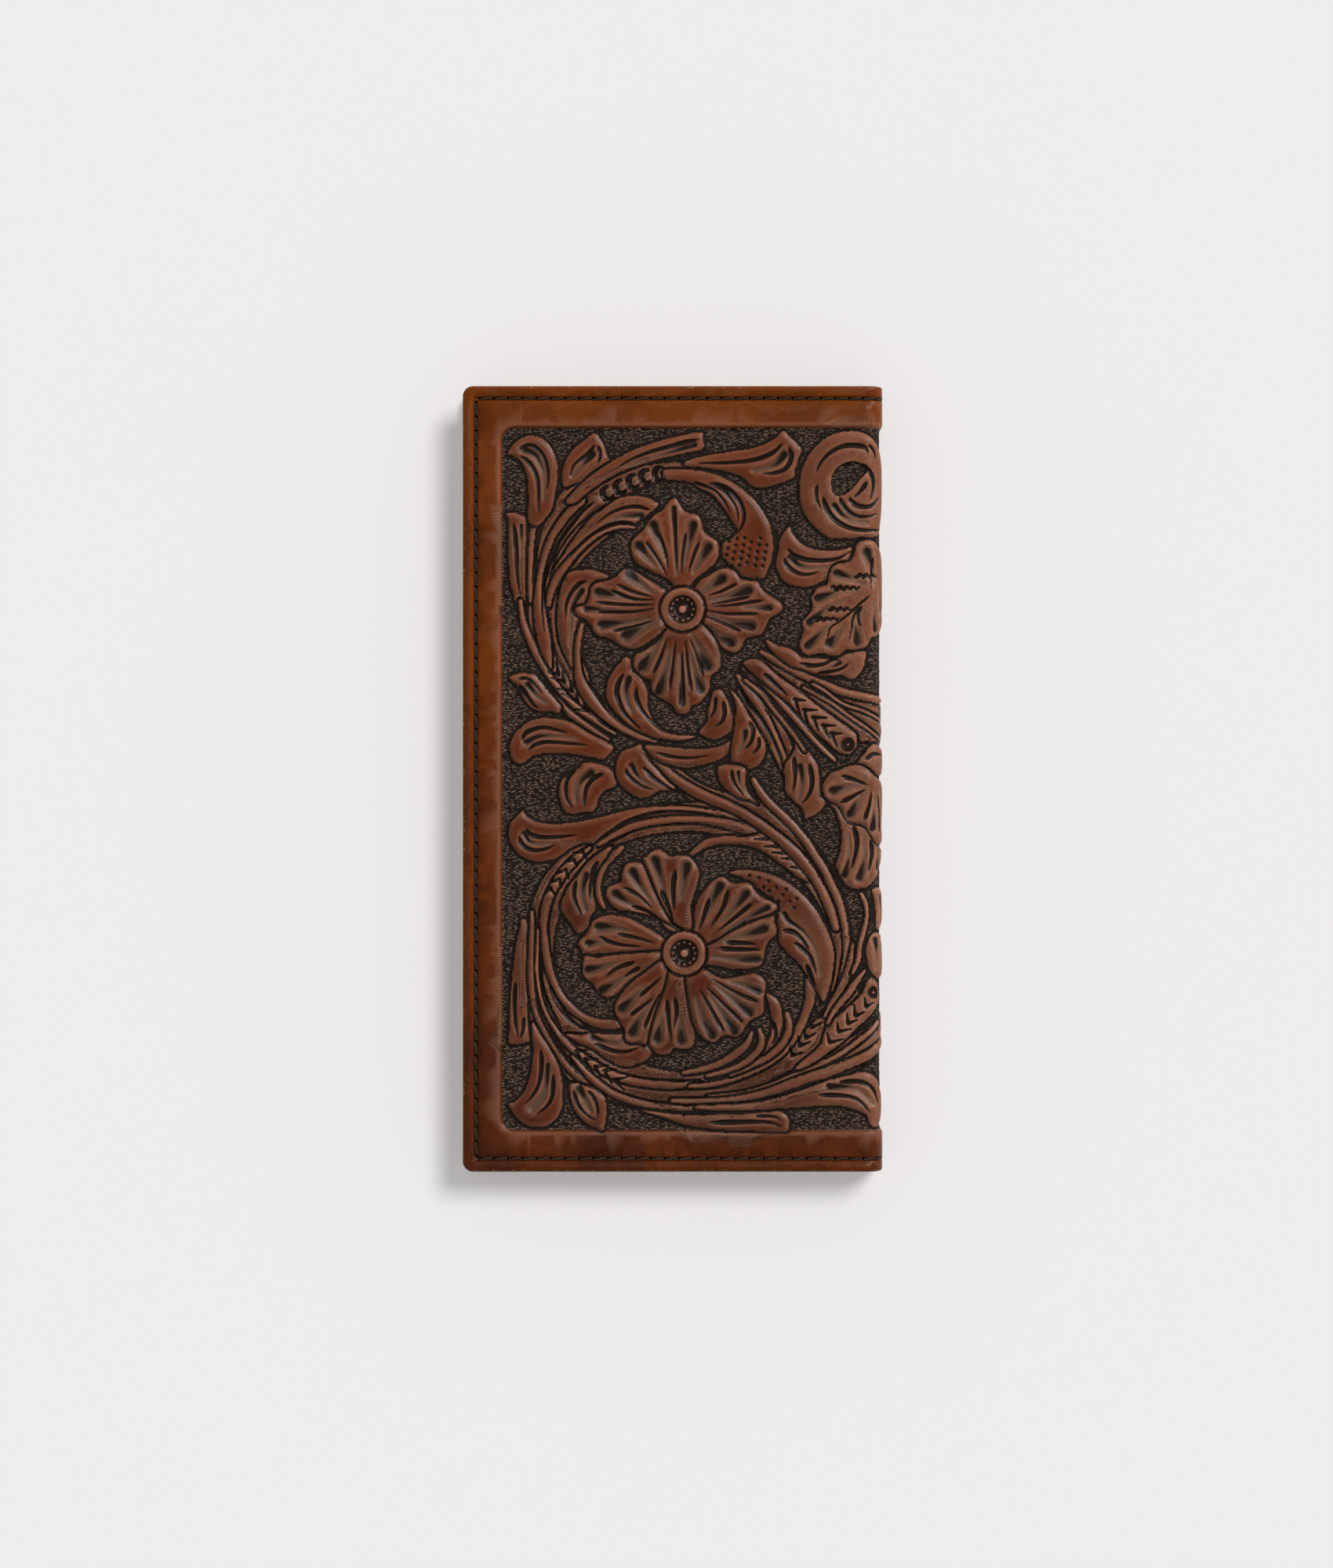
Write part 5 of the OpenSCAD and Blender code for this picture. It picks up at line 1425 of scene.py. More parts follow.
 33.6,-4 33.2,-2 33.2,.5 32.6,3.4 30,7 26,11 27.6,7
cut .7 -.4 27.4,5 27.6,2.4 27.7,.4 27.4,-1.7 27.1,-2.9
scoop .9 .6 28.7,2.8 29.1,0 28.9,-2.9 28.6,-4.9
cut .8 30.9,3.4 31.5,-.2 31.2,-2.6 30.1,-4.6 29.2,-5.5
cut .5 14.2,21.7 17.1,17 19.8,13.5 22.1,9.9 23.6,6.7 24.8,3.8
ribbon 16.4,22.2,.4 20.1,19.1,.5 22.4,16.1 24.8,13.2 27.4,9.9 29.8,6.4,.4
shade .5 20.1,18.7 22.4,15.7 24.8,12.8 27.4,9.5 29.5,6.6
ribbon 17.5,24.4,.4 21.8,20.2,.6 25.1,16.4 28,13.2 30.9,9.9 33.9,6.7 36.6,4.2,.4
raised 15.9,26.1 19.5,22.6 23,19.6 26.5,16.7 29.5,13.5 32.4,10.5 35.4,7.6 37.6,5.9 40,5.6 41.4,7 41.6,9.2
 40.9,10.6 36.8,13.6 32.4,16.8 28,20.3 23.6,23.4 19.5,26.9
cut .8 20.6,23.8 25.9,18.8
chevrons .8 30.1,17.6/27.6,17.9/28.9,14.4 32.7,15.5/29.6,15.5/30.6,12.3 34.8,13.8/31.7,13.8/33,10.8
 36.8,12/33.9,12/35.4,9.1 38.3,10.2/35.8,10.2/37.1,7.3
eye 1.1 .3 .4 39.6,7.7
eye .45 -.25 39.6,7.7
ribbon 20.1,28.5,.5 23.6,26.6,.9 27.1,24.6 30.9,22.6 34.8,21 38.3,19.6 41.8,18.8 45.1,18.2 48,17.8
 51,17.6,.5
ribbon 29.5,20.6,.3 35.4,17.3,.35 39.2,14.6 43.9,11.4 47.5,9.4 51,8,.3
shade .7 28,22 34.2,18.9 38.3,16.4 43,13.4 48,10.8
ribbon 31.5,21.4,.3 34.2,19.9,.35 38.3,17 42.7,15.4 47.5,13.6 51,12.6,.3
shade .8 41,16.6 46,15.6 51,15
raised 41.6,3.4 44,6.6 46,8 48.6,7.4 51.4,6.4 51.8,3 49,.6 45.6,.6 43,1.6
cut .7 .4 43.4,4.4 45.6,5.6 48.4,5.4
# Wing leaf, fluted leaf and the curled leaf under the spiral
raised 26.5,56.9 27.1,55.4 28.6,53.6 30.4,52.3 33,51.6 35.9,51.4 38.3,51.7 40.4,52.2 39.6,49 38.2,46.8
 36.4,45.6 34.2,44.6 31.8,43.4 29.5,43.2 27.1,43.5 25.1,44.5 23.9,46.3 23.3,48.4 23.9,51.6 24.2,53.9 25.4,56
cut .8 .5 25.9,51.9 27.4,50.4 29.5,49.5 32.1,49.2 34.8,49.2 37.7,49.8 40.2,51.3
cut .7 25.2,49.8 25.9,48.1 27.7,46.6 30.1,46 33,46.6
scoop .9 .5 26.5,49.8 28.3,48.2 30.9,47.5 34.6,47.8
raised 21.2,31.4 23.6,30.2 26.5,29.4 28,28.5 29.5,27.3 32.4,27.3 35.4,27 38.3,27.9 41.2,28.6 43.6,28.8
 43.7,27.3 43,24.9 41.8,23.2 40.4,22.3 38.3,23.2 36.2,23.2 32.4,23.5 29.5,24.6 26.5,25.5 23.6,27.6 21.8,29.4
cut .7 28.6,26.1 31.2,25.5 33.9,25.8 35.9,26.7 38,27
cut .6 .4 32.4,23.8 35.4,24.1 38.3,24.9 40.1,26.4
scoop .7 .4 37.7,26.2 35.4,25 33,24.4
raised -.02 .2 28.6,30.2 28.9,29.1 30.1,27.9 31.8,27.9 33.9,28.2 35.6,27.7 37.4,27.7 38.9,28.8 40.9,29.1
 43.3,29.4 44.2,30.2 45.1,31.7 47.1,32.3 49.4,34 50.8,37 51.2,42 50.6,47 49,51 47.1,52.8 45.9,53.6 44.2,53.9
 42.4,53.5 41.2,52.2 40.9,50.4 39.8,48.9 37.7,48.6 36.2,47.8 35.4,46 34.8,43.9 32.7,43.1 31.8,41.6 31.2,40.8
 31.5,39.4 31.2,37.9 30.1,36.4 29.2,35.2 29.6,33.5 29.2,32.3
scoop 1.2 .4 30.6,29.9 33.3,32.6 37,36
scoop 1.4 .4 35.6,30.5 38.6,34.4
scoop 1.3 .3 41.8,30.8 41.5,35.5 42.7,38.5
scoop 1.1 .5 46.2,33.8 45.6,40.2
scoop 1.2 .4 31,35.2 35,38.4 39,40.4
scoop 1.3 .4 32.9,40.6 37.4,42 41.4,42.4
scoop 1.3 .5 37.1,46.2 40.4,45 43.4,43.8
scoop 1.5 .6 43.8,51.2 44.8,47.6 45.4,44.2
scoop 1.2 .6 48.6,38 47.4,43
cut .4 0 .3 44.8,41.4 42.4,39.6 40.3,37.6 37.7,35.5 35.6,34 35,32 34.9,30.2
cut .4 0 .3 42.1,39.1 40.7,36.1 40.4,33.8 39.8,30.8
cut .4 0 .3 42.7,39.1 41.8,36.7 42.6,33.8
cut .4 0 .3 45.4,50 45,46 44.8,42.6
"""


MIDDLE_STROKES = """
# Leaves between the two flowers, and the root of the lower ring
raised -10.6,27.6 -11.6,26.4 -13.1,24.6 -14.3,22.6 -14.9,20.2 -14.7,17.9 -13.5,15.8 -11.5,13.5 -9,11.5 -6,10
 -3,9 2,8.6 5.5,9.6 2.2,9.9 -.8,10.3 -2.8,11.5 -4.5,13.6 -5.4,16.1 -5.5,18.5 -5.6,20 -6.9,22.6 -9,24.5
 -9.3,26.8
cut .8 -.4 -10.8,23.8 -11.9,22 -12.5,19.6 -11.9,17.3 -10.8,14.9 -9,12.9 -6.9,11.1
scoop 1 .5 -9.9,22.6 -10.5,20.2 -10.2,17.6 -9,14.9
cut .7 -8,20.7 -8.1,18.5 -7.2,16.1 -5.8,14.1 -4,12.3 -1.9,10.5
ribbon -7.2,6.2,.8 -3.2,3.6 0,.6,1 4,-2.2,1.2 8,-4.2 12,-5.8,1.1 16,-7.8 20,-10.4 24,-13.4 27.5,-16.6,1.2
 30.5,-20 32.6,-23.2,1 34.4,-26.6 35.8,-30 36.9,-33.6,.8
raised -7.2,7.9 -9,7.1 -11.1,6.4 -12.2,4.9 -12.7,2.9 -12.7,1.2 -12.2,-.5 -10.8,-2.3 -9,-3.6 -7.2,-4.4
 -4.9,-3.9 -2.5,-2.6 1,-2.6 -1.5,0 -3.6,2.4 -5.4,4.4 -6.4,6.2
cut .6 .4 -10.5,2.4 -9.9,.9 -8.4,-.5 -6.6,-1.7 -4.3,-2.4
scoop .8 .4 -9.2,3 -8.1,.9 -6.1,-.8 -3.4,-1.8
cut .7 -6.6,2.7 -4.3,.4 -.8,-2 2.5,-3.3
raised -5.8,7.6 3,6.9 8.9,7 11.8,7.9 13.6,9.4 14.2,10.2 13.9,7.6 12.7,6.1 11.2,4.6 8.3,3.5 5.9,2.9 3,2.4
 -.8,3.2 -3.7,4.4 -5.2,5.8
cut .5 -3.6,5.9 0,5 4,4.7 8,5.2
shade .5 -3.7,4.2 0,3.1 5,3
raised 5.9,10.5 7.4,12.3 7.9,13.5 8,15.5 8.6,17.6 9.2,19.6 10.9,20.2 12.4,17.9 13.3,15.5 13.9,13.2 13.9,11.4
 11.8,9.6 9.5,8.8 7.4,9.4
cut .6 9.8,18.5 9.5,15.5 8.6,13.8
cut .7 .3 11.5,17.6 11.8,14.9 11.2,12.9 9.5,11.7
raised 13,20.2 14.2,17 14,12 13.4,8 13.3,3.8 15.1,2.6 17.1,2.1 19.2,2.9 20.6,4.6 21.2,7.3 20.6,9.1 19.2,11.4
 17.7,13.8 15.6,17.6
cut .7 17.4,12.9 18.3,10.8 17.7,8.2 16.2,6.7
cut .6 19.5,9.4 19.5,7.3 18,5.5
scoop .8 .5 16.4,10.6 16,8 15,6
shade .6 13.6,22.6 15.4,19.1 17.1,16.1 18.9,13.2 20.6,10.2 21.5,8.2
raised 10.4,2.9 10.2,.8 11,-1.2 12.8,-3 15.2,-4.4 17.6,-4.8 19.4,-5.8 17.5,-3.6 16.5,-1 16.6,2 15,3 13,3.2
cut .6 13.4,2 13.7,-.2 14.6,-2 16.2,-3.7
scoop .6 .3 14.8,1.5 15.1,-.6 16.2,-2.6 17.4,-3.9
# Crescent leaf that closes the upper ring, with its seeds
raised -.03 .18 -1.8,69.6 3,69.7 5.9,69.5 8.9,68.9 11.8,67.8 14.8,66.1 16.8,64.5 18.9,62.5 20.6,60.1 22,57.5
 22.6,54.8 22.8,51.6 22.4,49.2 21.5,46.9 20.6,45.1 17.5,45.2 15,46 12.5,48.5 11,51 11.4,53.2 13.3,54.2
 14.6,55.6 14.4,56.5 13.3,58.2 12.3,60 11.2,61.4 9.5,63.4 8,64.6 6.6,65.2 5.2,66.2 3.5,66.9 1,67.2 -1.8,67.6
cut .5 4.6,66.9 7,66.1 9.6,64.9 11.6,62.6 13.2,60
cut .5 8.2,66.6 11,65.3 13.2,63 14.6,60.5 14.8,58
cut .9 -.5 9,66.8 12.5,65.2 14.9,62.8 16.1,60 15.9,57.5 14.9,55.6
"""


LAST_STROKES = """
# Petals of the rose that turns round the fold
raised 35.6,-5.2 36.5,-6.7 37.3,-8.8 37.9,-11.1 38,-13.5 37.9,-15.8 37.3,-17.9 36.8,-19.4 37.7,-21.4
 38.6,-23.2 39.8,-24.4 41.5,-24.8 43.9,-24.4 45.6,-23.2 47.4,-21.4 49,-18.4 49.6,-14 48,-8 42,-4
hollow 1.1 .6 42.2,-22.4 43.4,-18 43.3,-13
hollow 1 .5 39,-21.6 40,-17.4 39.8,-13
hollow 1 .6 47,-20 47.2,-15
cut .8 40.8,-10.4 41.5,-13.5 41.4,-16.1 40.4,-20.2
cut .8 44.8,-13.6 45.1,-17 44.2,-20.9
shade .7 37.2,-20 38.2,-22 39.6,-23.8
raised -.05 .2 38.3,2.4 35.6,1.2 34.3,-.5 33.9,-2.3 34.3,-4.1 35.4,-4.9 37.1,-5.8 38.3,-7.3 39.2,-9.1
 40.4,-9.9 42.4,-10.2 43.9,-11.1 45.1,-12.9 46.5,-14.4 49.4,-15 51.6,-12.4 52.4,-8 52,-3.4 49.6,-.6 46.5,.5
 44.2,2.1 41.4,3.2
hollow 1.5 .6 36.3,-2.8 39,-2 42,-1.6
hollow 1.4 .4 40.3,-7.9 41.8,-5 43.4,-2
hollow 1.3 .5 45.6,-11 46,-7.5 46,-3
hollow 1.2 .5 49.4,-10.6 48.8,-7 47.8,-3
cut .7 38,.7 41,-.2 44,-1.4
cut .7 37.8,-5.4 40.6,-4 43.4,-2.4
cut .7 43.2,-9.4 44.4,-6 45,-3
cut .7 47.6,-12 47.6,-8 46.8,-3.6
ribbon 42.6,-26,.5 43.6,-28.2,.6 43.9,-30.8 43.3,-33.8 42.4,-37.2,.6 41.8,-41 40.6,-43.8,.4
cut .7 44.5,-26.4 45.4,-28.5 45.6,-30.5 45.2,-33
raised 45.4,-25 47.4,-24.4 49.6,-25.4 50.6,-28.6 50.2,-32 48,-34 46.4,-33.6 46.6,-30 46,-27.2
scoop .9 .6 48.2,-26.4 48.4,-29.4 47.8,-32.6
raised 43.6,-38.5 43.9,-41 44.8,-43.2 46.3,-44.6 48.6,-45 50.4,-43.4 51,-39.6 50,-36 47.6,-34.5 45.6,-34.8
 44.2,-36.3
hollow .9 .5 46,-36.2 46.4,-39 46.2,-42.6
hollow .9 .5 48.8,-36.6 48.9,-40 48.2,-43
# The upper flower: four broad petals round the seed cup
petal -1.1,41.9 -3.7,43.9 -6.6,45.7 -8.4,46.9 -10.2,47.6 -11.6,46.7 -13.1,45.3 -15.5,44.5 -17.2,44.2
 -18.4,42.8 -18.7,41 -19.6,39.2 -21.4,38.8 -22.1,37.9 -21.4,36.7 -19.9,36 -18.4,34.6 -17.8,33.2 -16.6,32.1
 -14.6,31.7 -12.8,30.8 -11.6,29.9 -9.6,29.2 -7.2,29.6 -5.2,30.8 -3.1,32.3 -1.6,33.5 0,37
hollow 1.7 .5 -9.6,46.1 -7.4,44.2 -4.3,41.9
hollow 1.5 .4 -16.6,41.9 -12,41 -8,40.4
hollow .9 .4 -19.4,38.2 -12,37.9
hollow 1.4 .4 -15.8,34.6 -11,35 -5,36
hollow 1.7 .5 -10.3,32.2 -6.5,34 -3,35.5
cut .5 -13.9,42.6 -9,40.6 -4,40.3
cut .5 -12.6,43.8 -8.4,42 -4.4,41
cut .5 -17,37.6 -9,37.6 -4,38.4
cut .5 -13.6,33.2 -8.4,34.4 -4,35.8
cut .5 -17.4,39.8 -10,39.2 -4,39.2
petal -.6,44.6 -5.2,46.9 -8.1,48.6 -9.2,51 -9.3,52.8 -8.7,54.2 -6.9,55.7 -5.7,57.3 -4.9,58.6 -3.6,59.8
 -2.3,60.5 -1.3,61.9 .5,63.4 1.6,62.2 2.5,60.7 3.6,60 5.5,59.6 6.6,58.2 7.1,55.9 8.6,54.6 10.1,53.5
 10.6,51.8 10.4,50.1 9.5,48.4 7.4,46.6 4.8,44.6 2,41
hollow 1.6 .4 -7.6,52.4 -5.5,49.9 -3.5,47.6
hollow 1.4 .4 -4.4,57.2 -3.2,54 -1.4,49.5
hollow .7 .4 .3,61 .6,56 .9,50 1,46
hollow 1.4 .4 4.6,57.2 3.9,54 2.9,49
hollow 1.6 .5 7.9,52.2 6.5,49.5 4.8,46.5
cut .5 -3.1,55.5 -1.6,51.3 -.9,47.4
cut .5 -5.9,53.4 -3.1,49.2 -1.1,45.6
cut .5 .4,60.4 .7,54 1,47
cut .5 3.1,55.5 2.3,50 2,46
cut .5 6.1,53.4 4.9,50.4 3.6,46.5
petal 5.9,35.2 8.9,32.3 10.4,30.2 11.8,29.1 13.9,28.3 15.4,29.1 16.2,30.8 16.8,31.7 18.3,32 20.1,32.6
 21.2,34.4 22.1,36.1 23.6,37 24.8,38.2 24.6,39.4 23.3,40.6 21.2,41.9 20.1,43.1 19.2,44.5 17.7,44.7 15.6,45
 14.5,46.3 13.3,47.3 11.5,47.5 8.9,46.3 5.9,44.2 4,40
hollow 1.7 .6 11,45.2 9,43.6 6.6,41.9
hollow 1.5 .4 17,42.6 12,41 8,40.2
hollow .9 .4 22,38.6 16,38.6
hollow 1.4 .3 17.8,34.5 13,35.4 8,37
hollow 1.6 .5 13.2,30.9 10.5,32.4 8,34.4
cut .5 14.6,44 11,42.2 8,41.2
cut .5 17.5,41 13,40.1 8.6,39.3
cut .5 19.5,37.2 12,37.2 7.5,38
cut .5 15.6,33.2 11.6,35 7,36.8
cut .5 20.4,40.2 14,39.2 9,38.8
petal -1.6,33.2 -3.4,30.8 -6.6,28.8 -8.4,27.9 -8.9,25.8 -8.1,24.4 -6.6,22.9 -4.9,22 -4.7,20.2 -3.7,18.8
 -1.9,17.7 -.2,16.7 .7,15.2 2.2,14.4 3.6,14.9 4.5,16.4 6,17 7.4,18.5 8.4,20.2 8.6,21.7 8.9,23.2 10.6,24.6
 11.1,26.4 10.8,28.5 9.8,31.1 8,33.5 5.9,35.2 2,36
hollow 1.6 .5 -6.6,25.2 -4.8,28 -2.5,31.5
hollow 1.4 .4 -2.8,19.8 -1.5,24 -.5,29
hollow .9 .4 2.3,17 2,22 2,28
hollow 1.4 .3 6.6,20.2 5.2,24 4.2,28
hollow 1.7 .5 8,25.6 6.3,29 4.5,32.5
cut .5 -4.4,23.4 -2.6,27.4 -1.2,31.6
cut .5 -.6,20 .2,26 .8,31
cut .5 2.6,16.8 2.4,22 2.2,29
cut .5 4.4,19.6 3.6,25 3,31
cut .5 7,23 5.6,27.6 3.9,32
heart 2.3,38.2
# The lower flower: nine cupped petals round the seed cup
petal -1.9,-36 -3.7,-34.6 -6.6,-32.9 -9.6,-31.4 -12.5,-30.7 -15.5,-30.8 -17.8,-32 -18.7,-33.8 -19.9,-35.5
 -21.3,-37 -20.5,-38.6 -19.4,-39.6 -9,-38.9 0,-39
hollow 1.5 .5 -16.5,-33.4 -13,-33.6 -9.5,-34.4
hollow 1.1 .6 -18.8,-37.1 -15.5,-36.9
cut .6 -16.5,-35.4 -14.3,-36.6 -11.4,-37.4 -7,-37.8
cut .6 -12.6,-34.8 -8,-35.8 -4,-37
petal 0,-39 -12.5,-39.6 -16.9,-40.2 -19.6,-39.8 -20.2,-41.3 -20.2,-43.6 -19.6,-45.1 -18.1,-46 -17.1,-47.5
 -15.8,-48.9 -14,-49.2 -12.5,-48.4 -9,-45 -3.7,-41.6
hollow 1.3 .5 -18.8,-43 -16,-42.5 -12.5,-41.4
hollow 1.4 .5 -15.6,-47.6 -13.3,-46.4 -10.5,-44.6
cut .7 -8.4,-41.2 -12.4,-42.6 -15,-44.6
cut .7 -7.2,-42.4 -9.2,-43.5 -10.6,-44.4
petal -5.5,-59.2 -7.8,-59.5 -9.9,-59.4 -10.8,-58.4 -10.8,-56.6 -11.6,-55.1 -12.5,-53.6 -13,-52.2 -12.8,-50.7
 -11.9,-48.9 -10.5,-47.2 -8.7,-45.4 -6.6,-43.9 -2,-41 -1,-46 -3,-52
hollow 1.5 .5 -11.2,-51.8 -8.5,-49.4 -5.8,-46.8
hollow 1.5 .5 -8.8,-57.2 -7.3,-54.2 -5.2,-50.8
cut .6 -9.6,-53.4 -6.9,-51.4 -4.4,-49.4
cut .6 -7.4,-49 -4.6,-46.6 -2.4,-44.6
cut .6 -6.4,-56.4 -4.6,-52 -2.6,-48
petal 0,-42 -1.5,-47 -4,-54 -5.2,-59.5 -4.6,-60.7 -3.7,-61.9 -1.9,-62.3 -.2,-61.6 .4,-60.7 2.2,-61 4.2,-60.7
 5.1,-59.2 5.1,-57.2 4.4,-52 3.2,-44
hollow 1.4 .5 -3.2,-58.6 -2.6,-55.4 -1.6,-52
hollow 1.4 .5 2.2,-58.9 1.9,-56 1.4,-52.5
cut .7 -1.2,-49.6 -.8,-54.7 -.2,-59
cut .7 .6,-49.3 1,-52.5 .4,-56
shade .7 1.4,-46 2.8,-52.5
petal 3,-42 3.4,-48 4.6,-54.6 6.2,-57.8 8.3,-59.2 9.8,-59.2 10.9,-58.4 12.1,-57.8 13.9,-58.1 15.4,-57.6
 16.5,-56 17.7,-54.4 19.5,-53.6 20.6,-52.5 20.6,-50.1 20.8,-48.4 21.2,-46.3 20.4,-44.8 18.6,-43.8 16.2,-44.2
 13.3,-44.8 10.1,-44.5 6,-42
hollow 1.3 .4 17.5,-52.6 14,-49.8 9.5,-46.2
hollow 1.4 .4 14.2,-56.6 11.7,-53.2 8.6,-49
hollow 1.4 .5 9.2,-57.6 7.2,-54.4 5.4,-49.6
hollow 1 .4 19.6,-47.8 17,-46.7 13,-45.6
cut .6 15.9,-54.9 12,-51.2 7.6,-46.8
cut .6 19.4,-50.2 14,-48 9,-45
cut .6 11.6,-56.9 8.8,-52 6.2,-47.4
shade .5 7,-42.6 9.5,-44 12.5,-44.5 16,-44.2
petal 9,-36.5 21.8,-30.8 23,-32.3 23.6,-34.1 23.3,-35.2 21.8,-36.6 21.2,-37.8 20.9,-38.9 20.6,-40.7
 20.1,-41.9 18.3,-42.6 15.6,-42.9 12.7,-42.8 10.1,-42.2 5,-41
hollow 1.4 .5 20.6,-33.6 17,-34.8 12,-36.4
hollow 1.2 .5 19.3,-40.5 15,-40.5 9,-40
cut .8 10.4,-38.2 15.6,-38.4 19.7,-38.4
cut .8 12,-36.9 15.6,-36.9 18.6,-37.2
petal 4,-36 4.8,-30.5 5.6,-27.6 7.1,-25.2 8.6,-23.5 10.1,-22.3 11.5,-22 12.7,-22.9 14.2,-23.5 16.5,-23.2
 18,-24 18.9,-25.5 20.4,-26.7 22.4,-27.6 23.7,-28.8 22.4,-30.3 16,-32.4 8,-37
hollow 1.5 .5 10.6,-24 8.6,-28 6.8,-32
hollow 1.3 .4 16.5,-25.8 14,-29 11,-32.4
hollow .9 .4 21.4,-28.9 17.4,-31 12,-34.2
cut .7 12.6,-25 11.4,-29 8.6,-33.4
cut .7 18,-28 14.4,-31 10.4,-34.2
cut .7 8.4,-26.8 7.2,-30.6 6,-34
petal -2,-33 -6.4,-19 -5.8,-17.6 -4.9,-16.4 -3.1,-15.8 -1.6,-16.6 -.5,-17.4 1.6,-17.1 3.4,-17.3 4.8,-18.5
 5.9,-20.2 6.1,-22 5.6,-24 4.8,-26.4 4.2,-29 4,-34
hollow 1.5 .5 -4,-18.4 -2.8,-22 -1.5,-27
hollow 1.5 .5 3.2,-19.5 2.6,-22.3 2,-27
cut .8 .7,-20.6 .2,-24.6 .4,-29.6
cut .8 -2.6,-25 -1,-28.6 .2,-32
shade .6 5.1,-25 3.9,-28 3.2,-31.6
petal 2,-34 -2.5,-31.6 -5.8,-30.6 -9.6,-29.8 -12.5,-29.4 -14.3,-27.6 -15,-25.8 -14.6,-24.4 -12.8,-23.6
 -11.6,-23.2 -11.4,-21.4 -10.8,-19.6 -9.3,-18.8 -7.2,-18.9 -6.4,-19.8 -4,-25.6 -.6,-32
hollow 1.4 .5 -9,-21 -7.5,-23.7 -4.5,-28
hollow 1.4 .5 -12.8,-26 -10.5,-27.6 -6.6,-29.6
cut .6 -11,-24.4 -8,-26 -4.6,-29
cut .6 -9.2,-28.7 -6,-29.6 -2.8,-31.6
heart 2.7,-39.3
# Fine strokes on the plain border, beside the field
shade .8 -38.6,60 -38.3,52 -38.3,38
shade .8 -38.4,-38 -38.3,-50 -38.6,-60
shade .8 36,79.9 40,80 44,79.9
shade .8 3,-79.8 10,-80.3 20,-80.3
"""


def ruffles(w):
    """Wavy cuts across the fluted leaf"""
    for start, stop, y in ((35, 41, 38.2), (31.8, 38, 36), (35.4, 42.7, 43), (41, 47, 45.7)):
        wave = [(x, y + 0.35 * math.sin(x * 4.2)) for x in np.arange(start, stop, 0.4)]
        w.cut(wave, 0.6, 0.6, 0.35)


def seed_rows(w):
    """Rows of seeds on the upper crescent leaf"""
    for k in range(6):
        for j in range(5):
            x = 11.6 + 1.75 * k + 0.3 * j
            y = 47.3 + 1.55 * j + 0.25 * (k % 2) + 0.35 * (3 - abs(k - 3))
            if 11.2 < x < 21.4 and y < 54.4:
                w.dot(x, y, 0.5, 0.34)


def crescents(w):
    """Five crescent cuts, each round a scoop, on the leaf above the upper flower"""
    for x, y, turn in ((-2.7, 68.7, 0.05), (-5.8, 68.1, 0.2), (-8.6, 67.0, 0.35),
                       (-11.5, 65.8, 0.5), (-14.4, 64.4, 0.65)):
        angles = np.linspace(0.75, 2 * math.pi - 0.75, 9) + turn
        bow = [(x + 1.3 * math.cos(a), y + 1.5 * math.sin(a)) for a in angles]
        w.scoop([bow[4], (x + 0.6, y + 0.2)], 0.9, 0.4)
        w.cut(bow[4:], 1.0)
        w.cut(bow[4::-1], 1.0)


def draw_tooling(w):
    """The whole pattern, from the lowest strands to the flowers on top"""
    w.work(FIRST_STROKES)
    ruffles(w)
    w.work(MIDDLE_STROKES)
    seed_rows(w)
    crescents(w)
    w.work(LAST_STROKES)


def material(make, *values):
    """A material made once and used by several pieces"""
    name = values[0] if values else make.__name__
    return bpy.data.materials.get(name) or make(*values)


def join_body(piece, body, slot, *nodes):
    """Ties a rigid piece to its body and hides the solids it stands for; the finish slot it is given is not
    used
    """
    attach(piece, body)
    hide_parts(*nodes)


def dress_halves(make, front, back):
    """Makes a piece for each half of the cover and hides the solids it stands for.
    Each half is written as the piece's name, then its solids"""
    for is_front, (name, *nodes) in ((True, front), (False, back)):
        wrap = Wrap(is_front)
        piece = make(wrap, name)
        wrap.across_fold(piece)
        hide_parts(*nodes)


def box_mm(node):
    """A solid's lowest and highest corners in millimetres"""
    low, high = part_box(node)
    return [mm(a) for a in low], [mm(a) for a in high]


def plate(node, radii, notch=()):
    """The outline of a solid that is a plate with round corners"""
    (x0, y0, _), (x1, y1, _) = box_mm(node)
    return round_plate(x0, y0, x1, y1, radii, notch)


def pocket_hide():
    return material(plain_leather, "pocket_hide", tuple(colours().pocket), 1.3)


def dress_sheet(node, name, body, outlines, skin, slot="pocket_leather", gap=0.0, thick=None, **more):
    """Makes a sheet in a solid's place; the front's sheets are built downwards from its leather"""
    low, high = box_mm(node)
    up, level = (-1, high[2] - gap) if body == "front" else (1, low[2])
    thick = thick or high[2] - low[2] - gap
    piece = leather_sheet(name, outlines, level, thick, skin, up, **more)
    join_body(piece, body, slot, node)


class DressTooledLeather(bpy.types.Operator):
    """Makes the tooled outer leather, in two halves that meet on the spine"""

    bl_idname = "checkbook_cover.tooled_leather"
    bl_label = "Tooled leather"

    def execute(self, context):
        skin = material(carved_hide)
        dress_halves(
            lambda wrap, name: hide_half(wrap, name, skin),
            ("tooled_front", "front_cover"), ("tooled_back", "back_cover", "spine_cover"),
        )
        return {"FINISHED"}


class DressLining(bpy.types.Operator):
    """Makes the glued lining, which follows the leather round the fold"""

    bl_idname = "checkbook_cover.lining"
    bl_label = "Lining"

    def execute(self, context):
        skin = material(plain_leather, "lining_hide", tuple(colours().lining), 1.0)
        dress_halves(
            lambda wrap, name: lining_half(wrap, name, skin),
            ("lining_front", "front_lining"), ("lining_back", "back_lining", "spine_lining"),
        )
        return {"FINISHED"}


